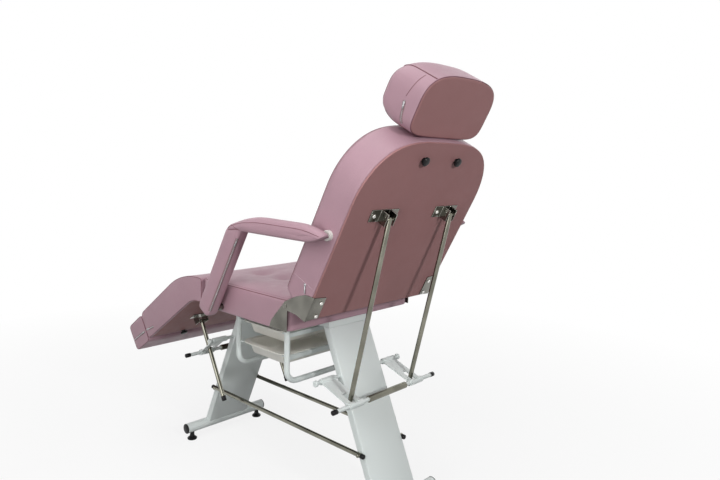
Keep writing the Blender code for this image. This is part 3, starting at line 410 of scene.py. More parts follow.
def joined(shapes):
    """Several tubes of rings as one list of points and one list of faces."""
    points = []
    faces = []
    for grid, closed in shapes:
        start = sum(len(part) for part in points)
        faces.extend([[start + number for number in face] for face in loft_faces(*grid.shape[:2], closed)])
        points.append(grid.reshape(-1, 3))
    return np.vstack(points), faces


def smooth_once(made):
    """One subdivision of a padded piece."""
    step = made.modifiers.new("soft", "SUBSURF")
    step.levels = 1
    step.render_levels = 1


def skin_of(made):
    """Points and normals of a piece as it shows, with its modifiers."""
    data = made.evaluated_get(bpy.context.evaluated_depsgraph_get()).data
    normals = np.empty(len(data.vertices) * 3)
    data.vertex_normals.foreach_get("vector", normals)
    return corner_points(data), normals.reshape(-1, 3)


def laid_on(made, points):
    """Points dropped onto a piece along the normal of its nearest vertex, with those normals."""
    skin, normals = skin_of(made)
    nearest = np.array([np.argmin(np.sum((skin - point) ** 2, axis=1)) for point in points])
    normal = normals[nearest]
    gap = np.sum((points - skin[nearest]) * normal, axis=1, keepdims=True)
    return points - gap * normal, normal


# Finishes
def start_look(name):
    """New material with its node tree, shader and Object coordinates."""
    look = bpy.data.materials.new(name)
    look.use_nodes = True
    tree = look.node_tree
    shader = tree.nodes["Principled BSDF"]
    where = tree.nodes.new("ShaderNodeTexCoord").outputs["Object"]
    return look, tree, shader, where


def noise(tree, where, scale, detail=3.0):
    """Value of a cloud pattern."""
    node = tree.nodes.new("ShaderNodeTexNoise")
    node.inputs["Scale"].default_value = scale
    node.inputs["Detail"].default_value = detail
    tree.links.new(where, node.inputs["Vector"])
    return node.outputs["Fac"]


def cells(tree, where, scale):
    """Distance to the edges of a pebble pattern."""
    node = tree.nodes.new("ShaderNodeTexVoronoi")
    node.feature = "DISTANCE_TO_EDGE"
    node.inputs["Scale"].default_value = scale
    tree.links.new(where, node.inputs["Vector"])
    return node.outputs["Distance"]


def stretched(tree, where, scale):
    """Coordinates scaled by a different number along each axis."""
    node = tree.nodes.new("ShaderNodeMapping")
    node.inputs["Scale"].default_value = scale
    tree.links.new(where, node.inputs["Vector"])
    return node.outputs["Vector"]


def ranged(tree, value, low, high, out_low, out_high):
    """Value moved from one range to another and kept inside it."""
    node = tree.nodes.new("ShaderNodeMapRange")
    for number, amount in enumerate((low, high, out_low, out_high)):
        node.inputs[number + 1].default_value = amount
    tree.links.new(value, node.inputs[0])
    return node.outputs[0]


def mixed(tree, factor, first, second):
    """Colour between two colours by a factor."""
    node = tree.nodes.new("ShaderNodeMix")
    node.data_type = "RGBA"
    tree.links.new(factor, node.inputs[0])
    for socket, colour in ((node.inputs[6], first), (node.inputs[7], second)):
        if isinstance(colour, tuple):
            socket.default_value = (*colour, 1.0)
        else:
            tree.links.new(colour, socket)
    return node.outputs[2]


def bump(tree, shader, heights):
    """Bump of several patterns laid over each other, each with its strength and depth."""
    below = None
    for height, strength, depth in heights:
        node = tree.nodes.new("ShaderNodeBump")
        node.inputs["Strength"].default_value = strength
        node.inputs["Distance"].default_value = depth
        tree.links.new(height, node.inputs["Height"])
        if below is not None:
            tree.links.new(below, node.inputs["Normal"])
        below = node.outputs["Normal"]
    tree.links.new(below, shader.inputs["Normal"])


def shaded(colour, share):
    """Colour times a share."""
    return tuple(share * part for part in colour)


def vinyl(name, colour, gloss, shine=0.30):
    """Soft upholstery vinyl: fine pebble grain, cloudy tone, uneven sheen."""
    look, tree, shader, where = start_look(name)
    grain = ranged(tree, cells(tree, where, 620.0), 0.0, 0.12, 0.0, 1.0)
    cloud = ranged(tree, noise(tree, where, 7.0), 0.3, 0.7, 0.0, 1.0)
    tone = mixed(tree, cloud, shaded(colour, 0.95), shaded(colour, 1.04))
    tree.links.new(mixed(tree, grain, shaded(colour, 0.86), tone), shader.inputs["Base Color"])
    tree.links.new(ranged(tree, noise(tree, where, 34.0), 0.3, 0.7, gloss - 0.06, gloss + 0.07),
                   shader.inputs["Roughness"])
    shader.inputs["Specular IOR Level"].default_value = shine
    bump(tree, shader, ((noise(tree, where, 11.0, 2.0), 0.10, 0.003), (grain, 0.25, 0.0002)))
    return look


def metal(name, colour, low, high, grain):
    """Bright metal: colour swings between lighter and darker cloudy patches, partly worn spots and mostly
    painted reflections; roughness and bump follow a fine drawn grain.
    """
    look, tree, shader, where = start_look(name)
    shader.inputs["Metallic"].default_value = 1.0
    # Painted reflections: a cloud pattern lays light and dark patches into the metal's colour in place of the
    # streaky reflections of surroundings.
    wear_and_reflection = ranged(tree, noise(tree, where, 14.0, 2.0), 0.3, 0.8, 0.0, 1.0)
    tone = mixed(tree, wear_and_reflection, shaded(colour, 1.22), shaded(colour, 0.60))
    tree.links.new(tone, shader.inputs["Base Color"])
    lines = noise(tree, stretched(tree, where, grain), 1.0, 2.0)
    tree.links.new(ranged(tree, lines, 0.3, 0.7, low, high), shader.inputs["Roughness"])
    bump(tree, shader, ((lines, 0.05, 0.0001),))
    return look


def coated(name, colour, soil, low, high, shine=0.5):
    """Painted or moulded surface: slight soiling and uneven gloss."""
    look, tree, shader, where = start_look(name)
    dirt = ranged(tree, noise(tree, where, 5.0, 1.0), 0.3, 0.85, 0.0, 1.0)
    tree.links.new(mixed(tree, dirt, colour, soil), shader.inputs["Base Color"])
    tree.links.new(ranged(tree, noise(tree, where, 45.0), 0.3, 0.7, low, high), shader.inputs["Roughness"])
    shader.inputs["Specular IOR Level"].default_value = shine
    return look


PINK = (0.47, 0.292, 0.345)
VINYL = vinyl("pink upholstery vinyl", PINK, 0.42)
# Darker, redder copy of the pink vinyl: painted shade for the back panel, the pillow's back and the legrest's
# underside, which face away from the lamps. Its lower shine is the cover's own.
SHADE_COVER = vinyl("pink cover vinyl painted shade", (0.42, 0.216, 0.216), 0.52, 0.12)
# Piping cords much darker than the vinyl: real seams, with their darkness painted shade of the seams'
# valleys.
PIPING_SHADE = vinyl("pink piping painted seam shade", (0.22, 0.10, 0.12), 0.45)
TAPE = vinyl("grey pink zip tape", (0.30, 0.20, 0.21), 0.70)
PALE = vinyl("pale pink cord", (0.56, 0.40, 0.46), 0.55)
THREAD = vinyl("pink sewing thread", (0.34, 0.19, 0.22), 0.65)
ENAMEL = coated("white enamel", (0.80, 0.86, 0.845), (0.76, 0.81, 0.79), 0.28, 0.32)
# Chrome and polished steel are far darker than bright metal is: painted dark reflections of surroundings that
# the plain white room lacks.
CHROME = metal("bright chrome tube", (0.215, 0.21, 0.172), 0.10, 0.15, (20.0, 20.0, 20.0))
STEEL = metal("polished steel plate", (0.195, 0.19, 0.168), 0.14, 0.22, (40.0, 8.0, 8.0))
BRIGHT = metal("bright screw steel", (0.62, 0.61, 0.58), 0.16, 0.24, (40.0, 40.0, 40.0))
ZIP_METAL = metal("grey zip metal", (0.42, 0.42, 0.43), 0.28, 0.42, (90.0, 90.0, 90.0))
IVORY = coated("ivory moulded plastic", (0.88, 0.87, 0.81), (0.84, 0.82, 0.75), 0.34, 0.40)
BLACK = coated("black moulded plastic", (0.006, 0.006, 0.007), (0.010, 0.010, 0.010), 0.26, 0.36, 0.18)
NYLON = coated("white nylon", (0.80, 0.80, 0.77), (0.70, 0.69, 0.64), 0.38, 0.50)


# Padded pieces before they swell
def wall_rows(start, stop, step):
    """Plain wall rows between two heights."""
    count = max(2, int(round((stop - start) / step)))
    return [(0.0, height) for height in np.linspace(start, stop, count + 1)]


def across_rows(half, edge):
    """Rows of a pad that lies across the couch: both side edges and even rows between."""
    edge = [(inset, -half + depth) for inset, depth in edge]
    middle = wall_rows(-half + 0.012, half - 0.012, 0.011)
    return edge + middle + [(inset, -x) for inset, x in reversed(edge)]


def by_tufts(points, grid, tufts):
    """Numbers of a cap that lie in the stitched middle of a tuft."""
    apart = np.min(np.sum((points[grid][..., None, :2] - tufts) ** 2, axis=-1), axis=-1)
    return grid[apart < TUFT_STITCH ** 2]


def make_seat():
    """Seat pad: rounded rectangle, upright walls, a seam along the top edge and six sewn tufts."""
    corners = [(-SEAT_HALF, -SEAT_DEPTH), (SEAT_HALF, -SEAT_DEPTH), (SEAT_HALF, 0.0), (-SEAT_HALF, 0.0)]
    loop = sampled(rounded_outline(corners, [SEAT_CORNER] * 4), [4, 13, 22, 31], SEAT_GRID * 2)
    rows = [(0.007, SEAT_BASE), (0.0018, SEAT_BASE + 0.001), (0.0002, SEAT_BASE + 0.004)]
    rows += wall_rows(SEAT_BASE + 0.012, SEAT_SEAM - 0.007, 0.009)
    seam = len(rows) + 1
    rows += [(0.0006, SEAT_SEAM - 0.0025), (0.0032, SEAT_SEAM), (0.008, SEAT_SEAM + 0.005),
             (0.018, SEAT_SEAM + 0.0095)]
    points, faces, ring, low, high = padded_block(loop, *SEAT_GRID, rows, (0.0, 0.009), SEAT_TUFTS)
    made = piece("seat_pad", at(SEAT, *points.T), faces, VINYL, "base")
    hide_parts("seat_cushion")
    x, y, z = points.T
    by_plate = np.flatnonzero((np.abs(x) > SEAT_HALF - 0.01) & (y > -0.11) & (z < SEAT_SEAM))
    tufted = by_tufts(points, high, SEAT_TUFTS)
    sewn = np.concatenate([low.ravel(), ring[:3].ravel(), ring[seam], tufted, by_plate])
    return made, ring, seam, (sewn, np.where(z > SEAT_SEAM, 0.010, 0.0028))


def back_outline():
    """Back outline: small lower corners, straight sides, and a superellipse arch over the top."""
    turn = np.radians(np.linspace(0.0, 90.0, 40))
    arch = np.column_stack([BACK_HALF * np.maximum(np.cos(turn), 0.0) ** BACK_ARCH_POWER,
                            BACK_LEN - BACK_ARCH + BACK_ARCH * np.sin(turn)])
    arch[-1, 0] = 0.0
    foot = [(0.0, 0.0), (BACK_HALF, 0.0), (BACK_HALF, BACK_LEN)]
    right = np.vstack([rounded_outline(foot, [0.0, BACK_CORNER, 0.0])[9:18], arch])
    left = (right[:-1] * (-1.0, 1.0))[::-1]
    return np.vstack([right, left])


def make_back():
    """Back pad: crisp back edge, a seam along the front edge, six tufts, an underside that rises forward."""
    outline = back_outline()
    shoulder = 31
    marks = [4, shoulder, len(outline) - 1 - shoulder, len(outline) - 5]
    loop = sampled(outline, marks, BACK_GRID * 2)
    rows = [(0.0040, 0.0), (0.0014, 0.0006), (0.0006, 0.0022), (0.0, 0.0045)]
    rows += wall_rows(0.012, BACK_T - 0.018, 0.009)
    seam = len(rows) + 1
    rows += [(0.0012, BACK_T - 0.010), (0.006, BACK_T - 0.003), (0.015, BACK_T + 0.004),
             (0.028, BACK_T + 0.008)]
    points, faces, ring, low, high = padded_block(loop, *BACK_GRID, rows, (0.0, 0.010), BACK_TUFTS)
    points[:, 1] += BACK_HEEL * points[:, 2] * np.maximum(0.0, 1.0 - points[:, 1] / BACK_HEEL_REACH)
    made = piece("back_pad", at(BACK, *points.T), faces, VINYL, "backrest")
    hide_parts("backrest_cushion")
    x, s, f = points.T
    by_plate = np.flatnonzero((s < 0.115) & (np.abs(x) > BACK_HALF - 0.012))
    tufted = by_tufts(points, high, BACK_TUFTS)
    sewn = np.concatenate([low.ravel(), ring[:4].ravel(), ring[seam], tufted, by_plate])
    reach = np.where(f > BACK_T - 0.002, 0.010, 0.0030)
    reach[s < 0.045] = 0.0015
    return made, ring, seam, (sewn, reach)


def oval(angle, half, power):
    """Superellipse coordinate: half size times a sine or cosine raised to two over power, with its sign."""
    return half * np.sign(angle) * np.abs(angle) ** (2.0 / power)


def drawn_in(depth, start, stop, power):
    """Share of a pillow's size left at a depth: one up to start, then a superellipse down to stop."""
    past = np.clip((depth - start) / (stop - start), 0.0, 1.0)
    return (1.0 - past ** power) ** (1.0 / power)


def head_outline():
    """Pillow outline seen from behind: a rounder superellipse above its middle and a squarer one below."""
    turn = np.radians(np.arange(-180.0, 180.0, 3.0))
    above = np.sin(turn) > 0.0
    x = np.where(above, oval(np.cos(turn), HEAD_HALF, 3.0), oval(np.cos(turn), HEAD_HALF, 5.5))
    lift = np.where(above, oval(np.sin(turn), HEAD_TOP - HEAD_MIDDLE, 3.0),
                    oval(np.sin(turn), HEAD_MIDDLE - HEAD_LOW, 5.5))
    return sampled(np.column_stack([x, lift]), [15, 45, 75, 105], HEAD_GRID * 2)


def make_head():
    """Head pillow: flat crisp back, and a front drawn in more from below and above than from the sides."""
    rows = [(0.0040, 0.0), (0.0012, 0.0007), (0.0, 0.0030)]
    rows += [(0.0, depth) for depth in (0.012, 0.022, 0.033, 0.044, 0.055, 0.066, 0.077, 0.088, 0.098,
                                        0.106, 0.113, 0.119, 0.124, 0.128, HEAD_T - 0.006)]
    points, faces, ring = padded_block(head_outline(), *HEAD_GRID, rows, (0.0, 0.005))[:3]
    x, lift, f = points.T
    deep = np.minimum(f, HEAD_T - 0.006)
    tall = np.where(lift > 0.0, drawn_in(deep, 0.070, 0.1400, 2.6), drawn_in(deep, 0.048, 0.1390, 2.4))
    wide = drawn_in(deep, 0.108, 0.1380, 3.0)
    place = at(BACK, x * wide, HEAD_MIDDLE + lift * tall, HEAD_BACK + f)
    made = piece("head_pad", place, faces, VINYL, "headrest")
    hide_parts("headrest_cushion")
    flat = np.flatnonzero((f < 0.004) | (lift < HEAD_LOW - HEAD_MIDDLE + 0.006))
    return made, ring, (flat, np.full(len(points), 0.0045))


def make_head_shaded_back():
    """Back panel of the pillow in the darker cover vinyl, painted shade on its back face: the outline a
    little smaller, a thin domed sheet just off its back.
    """
    rows = [(0.0030, 0.0006), (0.0024, -0.0010), (0.0042, -0.0018)]
    points, faces = padded_block(head_outline(), *HEAD_GRID, rows, (0.0, -0.0006))[:2]
    x, lift, f = points.T
    place = at(BACK, x, HEAD_MIDDLE + lift, HEAD_BACK + f)
    piece("head_back_shaded_panel", place, faces, SHADE_COVER, "headrest")


LEG_EDGE = [(0.0050, 0.0), (0.0012, 0.0008), (0.0, 0.0035)]


def leg_outline():
    """Side outline of the legrest pad in slope coordinates."""
    corners = [(-0.0022, 0.0082), (0.100, LEG_TOP), (LEG_LEN, LEG_TOP - 0.003), (LEG_LEN, -LEG_UNDER),
               (0.095, -LEG_UNDER), (0.0441, -0.0599)]
    return rounded_outline(corners, [0.006, 0.100, 0.022, 0.010, 0.030, 0.008])


def make_leg():
    """Legrest pad: the side outline carried across the couch, seams along both side edges."""
    loop = sampled(leg_outline(), [4, 22, 31, 49], LEG_GRID * 2)
    rows = across_rows(SEAT_HALF, LEG_EDGE)
    points, faces, ring = padded_block(loop, *LEG_GRID, rows, (-0.001, 0.001))[:3]
    u, v, x = points.T
    made = piece("leg_pad", at(LEG, x, u, v), faces, VINYL, "legrest")
    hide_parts("legrest_cushion")
    still = np.flatnonzero((v < -LEG_UNDER + 0.003) | (u > LEG_LEN - 0.003) | (u < 0.012))
    return made, ring, (np.concatenate([ring[1], ring[-2], still]), np.full(len(points), 0.0045))


def make_leg_shade_sheet():
    """Painted shade under the legrest: a flat strip of the darker cover vinyl carried along the pad's
    underside, just off its skin.
    """
    u, v = evenly(leg_outline()[35:46], 40)[1:-1].T
    zero = np.zeros_like(u)
    path = at(LEG, zero, u, v)
    outward = at(LEG, zero, -np.gradient(v), np.gradient(u)) - LEG[0]
    half = SEAT_HALF - 0.010
    corners = [(-half, -0.001), (half, -0.001), (half, 0.0012), (-half, 0.0012)]
    section = rounded_outline(corners, [0.001] * 4, 4)
    grid = swept(path, outward, section)
    piece("leg_under_shade_sheet", grid, loft_faces(*grid.shape[:2], False), SHADE_COVER, "legrest")


def make_foot():
    """Foot pad: a short pad of rounded outline across the couch."""
    stop = FOOT_START + FOOT_LEN
    corners = [(FOOT_START, FOOT_TOP + 0.001), (stop, FOOT_TOP), (stop - 0.005, -FOOT_UNDER),
               (FOOT_START, -FOOT_UNDER)]
    outline = rounded_outline(corners, [0.016, 0.016, 0.016, 0.012])
    loop = sampled(outline, [4, 13, 22, 31], FOOT_GRID * 2)
    rows = across_rows(SEAT_HALF, LEG_EDGE)
    points, faces, ring = padded_block(loop, *FOOT_GRID, rows, (-0.001, 0.001))[:3]
    u, v, x = points.T
    made = piece("foot_rest_pad", at(LEG, x, u, v), faces, VINYL, "foot_pad")
    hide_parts("foot_pad")
    still = np.flatnonzero(u < FOOT_START + 0.003)
    return made, ring, (np.concatenate([ring[1], ring[-2], still]), np.full(len(points), 0.0035))


ARM_UP = np.array([math.sin(ARM_LEAN), math.cos(ARM_LEAN)])
ARM_FORE = np.array([-math.cos(ARM_LEAN), math.sin(ARM_LEAN)])
KNEE = 26
ARM_RUN = 34
ARM_END = 8
KNEE_IN = ARM_END + KNEE
NOSE_HIGH = KNEE_IN + ARM_RUN + ARM_END
KNEE_OUT = NOSE_HIGH + ARM_RUN


def make_arm():
    """Armrest: one bent pad, its leaning post and level top meeting in a mitre, carried across."""
    foot = (ARM_FOOT - ELBOW)[1:] @ ARM_UP - ARM_FOOT_DROP
    rear = (ARM_SET_BACK - ARM_HALF_T) * ARM_FORE
    knee = rear + ARM_UP * (ARM_UNDER - rear[1]) / ARM_UP[1]
    corners = [foot * ARM_UP + (ARM_SET_BACK + ARM_HALF_T) * ARM_FORE, foot * ARM_UP + rear, knee,
               (ARM_REAR - 0.042, ARM_UNDER - 0.001), (ARM_REAR, 0.0600), (ARM_REAR - 0.062, ARM_HIGH),
               (0.080, ARM_HIGH + 0.003), (-0.029, 0.049)]
    outline = rounded_outline(corners, [0.018, 0.018, 0.006, 0.028, 0.015, 0.045, 0.065, 0.016])
    counts = [ARM_END, KNEE, ARM_RUN, ARM_END, ARM_RUN, KNEE]
    loop = sampled(outline, [4, 13, 22, 36, 44, 67], counts)
    edge = [(0.0125, 0.0), (0.0058, 0.0012), (0.0018, 0.0050), (0.0002, 0.0110)]
    rows = edge + [(-0.0006, ARM_W / 2)] + [(inset, ARM_W - x) for inset, x in reversed(edge)]
    points, faces, ring, low, high = padded_block(loop, ARM_END, KNEE + ARM_RUN, rows, (-0.001, 0.001))
    y, z, x = points.T
    aside = 2 * x / ARM_W - 1
    over = np.clip((z - ARM_UNDER) / (ARM_HIGH - ARM_UNDER), 0.0, 1.0)
    over = over * np.clip((y + 0.02) / 0.10, 0.0, 1.0)
    nose = np.clip((y - ARM_REAR + 0.060) / 0.060, 0.0, 1.0)
    narrow = 1 - 0.45 * nose ** 2.2
    mitre = np.concatenate([low[:, KNEE], high[:, KNEE], ring[:, KNEE_IN], ring[:, KNEE_OUT]])
    narrow[mitre] -= 0.12
    place = at(ARM, y, z - 0.012 * np.abs(aside) ** 2.4 * over, ARM_W / 2 * (1 + aside * narrow))
    made = piece("arm_rest_pad_left", place, faces, VINYL, None)
    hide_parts("arm_post_left", "arm_pad_left")
    sewn = np.concatenate([mitre, ring[1], ring[-2]])
    return made, ring, high, (sewn, np.where(nose > 0.2, 0.0012, 0.0030))


def swell(jobs):
    """Cloth run of all pads together: air pressure swells the free vinyl while sewn points stay.

    Each point's move is drawn back to reach * (1 - exp(-move / reach)), so none passes its reach.
    """
    scene = bpy.context.scene
    for made, (sewn, _) in jobs:
        group = made.vertex_groups.new(name="sewn")
        group.add(np.unique(sewn).tolist(), 1.0, "REPLACE")
        cloth = made.modifiers.new("swell", "CLOTH")
        cloth.point_cache.frame_end = SWELL_STEPS
        cloth.settings.quality = 4
        cloth.settings.mass = 0.3
        cloth.settings.tension_stiffness = 40.0
        cloth.settings.compression_stiffness = 40.0
        cloth.settings.shear_stiffness = 15.0
        cloth.settings.bending_stiffness = 5.0
        cloth.settings.use_pressure = True
        cloth.settings.uniform_pressure_force = 4.0
        cloth.settings.vertex_group_mass = "sewn"
        cloth.settings.effector_weights.gravity = 0.0
        cloth.collision_settings.use_collision = False
    for step in range(1, SWELL_STEPS + 1):
        scene.frame_set(step)
    graph = bpy.context.evaluated_depsgraph_get()
    for made, (_, reach) in jobs:
        start = corner_points(made.data)
        move = corner_points(made.evaluated_get(graph).data) - start
        size = np.maximum(np.linalg.norm(move, axis=1), 1e-9)
        move *= (reach * (1 - np.exp(-size / reach)) / size)[:, None]
        made.modifiers.clear()
        made.vertex_groups.clear()
        made.data.vertices.foreach_set("co", (start + move).ravel())
        made.data.update()
    scene.frame_set(1)


def arm_bodies(side):
    """The two bodies of an armrest, and where its vinyl starts and ends to turn from one to the other."""
    sign = 1.0 if side == "left" else -1.0
    turned = (sign, 1.0, 1.0)
    start = at(ARM, *(-0.055 * ARM_UP), ARM_W / 2) * turned
    end = at(ARM, 0.090, 0.055, ARM_W / 2) * turned
    return "arm_post_" + side, "arm_pad_" + side, start.tolist(), end.tolist()


seat_pad, seat_ring, seat_seam, seat_job = make_seat()
back_pad, back_ring, back_seam, back_job = make_back()
head_pad, head_ring, head_job = make_head()
make_head_shaded_back()
make_leg_shade_sheet()
leg_pad, leg_ring, leg_job = make_leg()
foot_rest_pad, foot_ring, foot_job = make_foot()
arm_left, arm_ring, arm_face, arm_job = make_arm()
swell([(seat_pad, seat_job), (back_pad, back_job), (head_pad, head_job), (leg_pad, leg_job),
       (foot_rest_pad, foot_job), (arm_left, arm_job)])
arm_right = piece("arm_rest_pad_right", corner_points(arm_left.data) * (-1.0, 1.0, 1.0),
                  [list(face.vertices) for face in arm_left.data.polygons], VINYL, None)
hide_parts("arm_post_right", "arm_pad_right")
for pad, fill in ((seat_pad, 0.85), (back_pad, 0.85), (head_pad, 0.9), (leg_pad, 0.9), (foot_rest_pad, 0.9),
                  (arm_left, 0.9), (arm_right, 0.9)):
    smooth_once(pad)


# Seams, stitches and zips
def seam_line(name, path, normal, radius, body, closed=False, look=PIPING_SHADE):
    """Thin cord laid half into a seam; dark by default, painted shade of the seam's valley."""
    grid = swept(path, normal, circle(radius, 8), closed)
    piece(name, grid, loft_faces(*grid.shape[:2], closed), look, body)


def spaced(path, normal, pitch):
    """Points, directions and normals along a path at a steady pitch."""
    length = np.sum(np.linalg.norm(np.diff(path, axis=0), axis=1))
    both = evenly(np.hstack([path, 0.001 * normal]), max(2, int(length / pitch)))
    out = both[:, 3:] / np.linalg.norm(both[:, 3:], axis=1, keepdims=True)
    return both[:, :3], np.gradient(both[:, :3], axis=0), out


def stitch_row(name, path, normal, body):
    """Row of short stitches along a path on the skin."""
    centres, along, out = spaced(path, normal, 0.0062)
    points, faces = blocks(centres + 0.0002 * out, along, out, (0.0021, 0.00045, 0.0004))
    piece(name, points, faces, THREAD, body)


def zip_run(name, path, normal, body, pull):
    """Zip on the skin: a flat tape, two rows of teeth, a slider with its pull at a share of the length."""
    centres, along, out = spaced(path, normal, 0.0030)
    flat = [(-0.0052, -0.0006), (0.0052, -0.0006), (0.0048, 0.0005), (-0.0048, 0.0005)]
    grid = swept(centres, out, flat)
    piece(name + "_tape", grid, loft_faces(*grid.shape[:2], False), TAPE, body)
    aside = np.cross(out, along)
    aside = aside / np.linalg.norm(aside, axis=1, keepdims=True)
    turns = np.where(np.arange(len(centres)) % 2 == 0, 0.0009, -0.0009)[:, None]
    teeth, faces = blocks(centres + turns * aside + 0.0009 * out, along, out, (0.0009, 0.0013, 0.0006))
    spot = int(pull * (len(centres) - 1))
    middle = centres[spot] + 0.0016 * out[spot]
    hang = middle + 0.0085 * along[spot] / np.linalg.norm(along[spot]) + 0.0010 * out[spot]
    slider, slider_faces = blocks(np.array([middle]), along[[spot]], out[[spot]], (0.0042, 0.0031, 0.0012))
    tab, tab_faces = blocks(np.array([hang]), along[[spot]], out[[spot]], (0.0075, 0.0020, 0.0004))
    points = np.vstack([teeth, slider, tab])
    faces = np.vstack([faces, len(teeth) + slider_faces, len(teeth) + 8 + tab_faces])
    piece(name + "_teeth", points, faces, ZIP_METAL, body)


def zip_pull(name, path, normal, body):
    """Slider at the start of a short run on the skin, and a flat pull that hangs down to its end."""
    along = path[-1:] - path[:1]
    reach = np.linalg.norm(along)
    out = normal[:1]
    head, head_faces = blocks(path[:1] + 0.0014 * out, along, out, (0.0040, 0.0032, 0.0014))
    hang = path[:1] + 0.55 * along + 0.0026 * out
    tab, tab_faces = blocks(hang, along, out, (0.45 * reach, 0.0023, 0.0006))
    faces = np.vstack([head_faces, 8 + tab_faces])
    piece(name, np.vstack([head, tab]), faces, ZIP_METAL, body)


def ring_path(made, numbers):
    """Points and normals of a piece's skin along a row of its own vertices."""
    skin, normals = skin_of(made)
    return skin[numbers], normals[numbers]


def both_sides(place, rows):
    """A measured run of local points and its mirror twin across the couch."""
    rows = np.asarray(rows, float)
    return [(side, at(place, *(rows * (sign, 1.0, 1.0)).T))
            for side, sign in (("left", 1.0), ("right", -1.0))]


seam_line("seat_seam", *ring_path(seat_pad, seat_ring[seat_seam]), 0.0014, "base", closed=True)
stitch_row("seat_stitches", *ring_path(seat_pad, seat_ring[seat_seam + 1]), "base")
seam_line("back_front_seam", *ring_path(back_pad, back_ring[back_seam]), 0.0014, "backrest", closed=True)
stitch_row("back_stitches", *ring_path(back_pad, back_ring[back_seam - 1]), "backrest")
seam_line("head_back_seam", *ring_path(head_pad, head_ring[1]), 0.0012, "headrest", closed=True)
for made, ring, word, body in ((leg_pad, leg_ring, "leg", "legrest"),
                               (foot_rest_pad, foot_ring, "foot", "foot_pad")):
    for side, row in (("right", 1), ("left", len(ring) - 2)):
        seam_line(word + "_seam_" + side, *ring_path(made, ring[row]), 0.0011, body, closed=True)
for side, run in both_sides(BACK, [(BACK_HALF, 0.096, 0.095), (BACK_HALF, 0.098, 0.050),
                                   (BACK_HALF, 0.100, 0.006)]):
    seam_line("back_side_seam_" + side, *laid_on(back_pad, evenly(run, 20)), 0.0007, "backrest", look=PALE)
for side, run in both_sides(BACK, [(BACK_HALF, 0.0943, 0.0400), (BACK_HALF, 0.0730, 0.0290)]):
    zip_pull("back_zip_pull_" + side, *laid_on(back_pad, evenly(run, 2)), "backrest")
below = HEAD_GRID[0]
above = sum(HEAD_GRID)
rim_numbers = np.concatenate([head_ring[4:HEAD_RIM, below], head_ring[HEAD_RIM, below:above + 1],
                              head_ring[2:HEAD_RIM, above][::-1]])
rim_run = ring_path(head_pad, rim_numbers)
for side, sign in (("left", 1.0), ("right", -1.0)):
    turned = np.array([sign, 1.0, 1.0])
    seam_line("head_piping_" + side, rim_run[0] * turned, rim_run[1] * turned, 0.0019, "headrest")
for side, run in both_sides(BACK, [(0.138, 0.7200, 0.052), (0.149, 0.7040, 0.0545), (0.160, 0.681, 0.0584),
                                   (0.167, 0.657, 0.0631)]):
    seam_line("head_side_seam_" + side, *laid_on(head_pad, evenly(run, 16)), 0.0009, "headrest")
for side, run in both_sides(BACK, [(0.168, 0.645, 0.0615), (0.170, 0.626, 0.0568), (0.170, 0.600, 0.0532),
                                   (0.168, 0.582, 0.0482)]):
    zip_run("head_zip_" + side, *laid_on(head_pad, evenly(run, 16)), "headrest", 0.12)
for side, run in both_sides(LEG, [(SEAT_HALF, 0.395, -0.004), (SEAT_HALF, 0.440, 0.004)]):
    zip_run("leg_zip_" + side, *laid_on(leg_pad, evenly(run, 16)), "legrest", 0.9)
for side, run in both_sides(LEG, [(SEAT_HALF, 0.470, 0.006), (SEAT_HALF, 0.565, 0.010)]):
    zip_run("foot_zip_" + side, *laid_on(foot_rest_pad, evenly(run, 20)), "foot_pad", 0.1)
# Painted crease shade: a thin dark cord over the armrest's knee stands for the shade in creases that the
# pad's own shape lacks.
crease = evenly(np.array([(-0.012, 0.0565), (0.036, 0.0385)]), 12)
crease_shade_run = laid_on(arm_left, at(ARM, *crease.T, np.full(13, ARM_W)))
top_run = ring_path(arm_left, arm_ring[-2, NOSE_HIGH:KNEE_OUT + 1])
zip_path = ring_path(arm_left, arm_ring[-3, 10:KNEE_IN - 1])
knee_run = ring_path(arm_left, arm_face[:, KNEE])
for made, side, sign in ((arm_left, "left", 1.0), (arm_right, "right", -1.0)):
    turned = np.array([sign, 1.0, 1.0])
    bodies = arm_bodies(side)
    seam_line("arm_top_seam_" + side, top_run[0] * turned, top_run[1] * turned, 0.0009, bodies)
    seam_line("arm_knee_seam_" + side, knee_run[0] * turned, knee_run[1] * turned, 0.0013, bodies)
    seam_line("arm_crease_shade_" + side, crease_shade_run[0] * turned, crease_shade_run[1] * turned, 0.0007, bodies)
    zip_run("arm_zip_" + side, zip_path[0] * turned, zip_path[1] * turned, bodies, 0.92)
    hold(made, bodies)


# Rods, plugs and screws
def rods(name, starts, way, length, radius, body):
    """Plain round rods with eased ends, side by side."""
    profile = [(0.0, radius - 0.001), (0.001, radius), (length - 0.001, radius), (length, radius - 0.001)]
    points, faces = joined([(spun(np.asarray(start), way, profile, 24), False) for start in starts])
    piece(name, points, faces, CHROME, body)


def end_of(name, way):
    """Middle of a CAD node's farthest end in a direction."""
    points = corner_points(frame["nodes"][name].data)
    reach = points @ way
    return points[reach > reach.max() - 0.0012].mean(axis=0)


def plugs(name, ends, radius, wall, length, body):
    """Push-on plastic cups over bar ends: inner wall, rounded outer wall and closed tip."""
    outer = radius + wall
    profile = [(0.0001, 0.0008), (0.0001, radius + 0.0001), (-length, radius + 0.0001),
               (-length, outer - 0.0004), (0.0005 - length, outer), (0.0008, outer),
               (0.0022, outer - 0.0014), (0.0028, 0.0008)]
    points, faces = joined([(spun(end, way, profile, 24), False) for end, way in ends])
    piece(name, points, faces, BLACK, body)


def screws(name, spots, radius, height, body):
    """Round screw heads with a hollow drive, each at its spot and direction."""
    profile = [(0.0, radius * 0.97), (height * 0.35, radius), (height * 0.75, radius * 0.84),
               (height, radius * 0.52), (height, radius * 0.40), (height * 0.55, radius * 0.34),
               (height * 0.5, 0.0003)]
    points, faces = joined([(spun(np.asarray(spot), way, profile, 20), False) for spot, way in spots])
    piece(name, points, faces, BRIGHT, body)


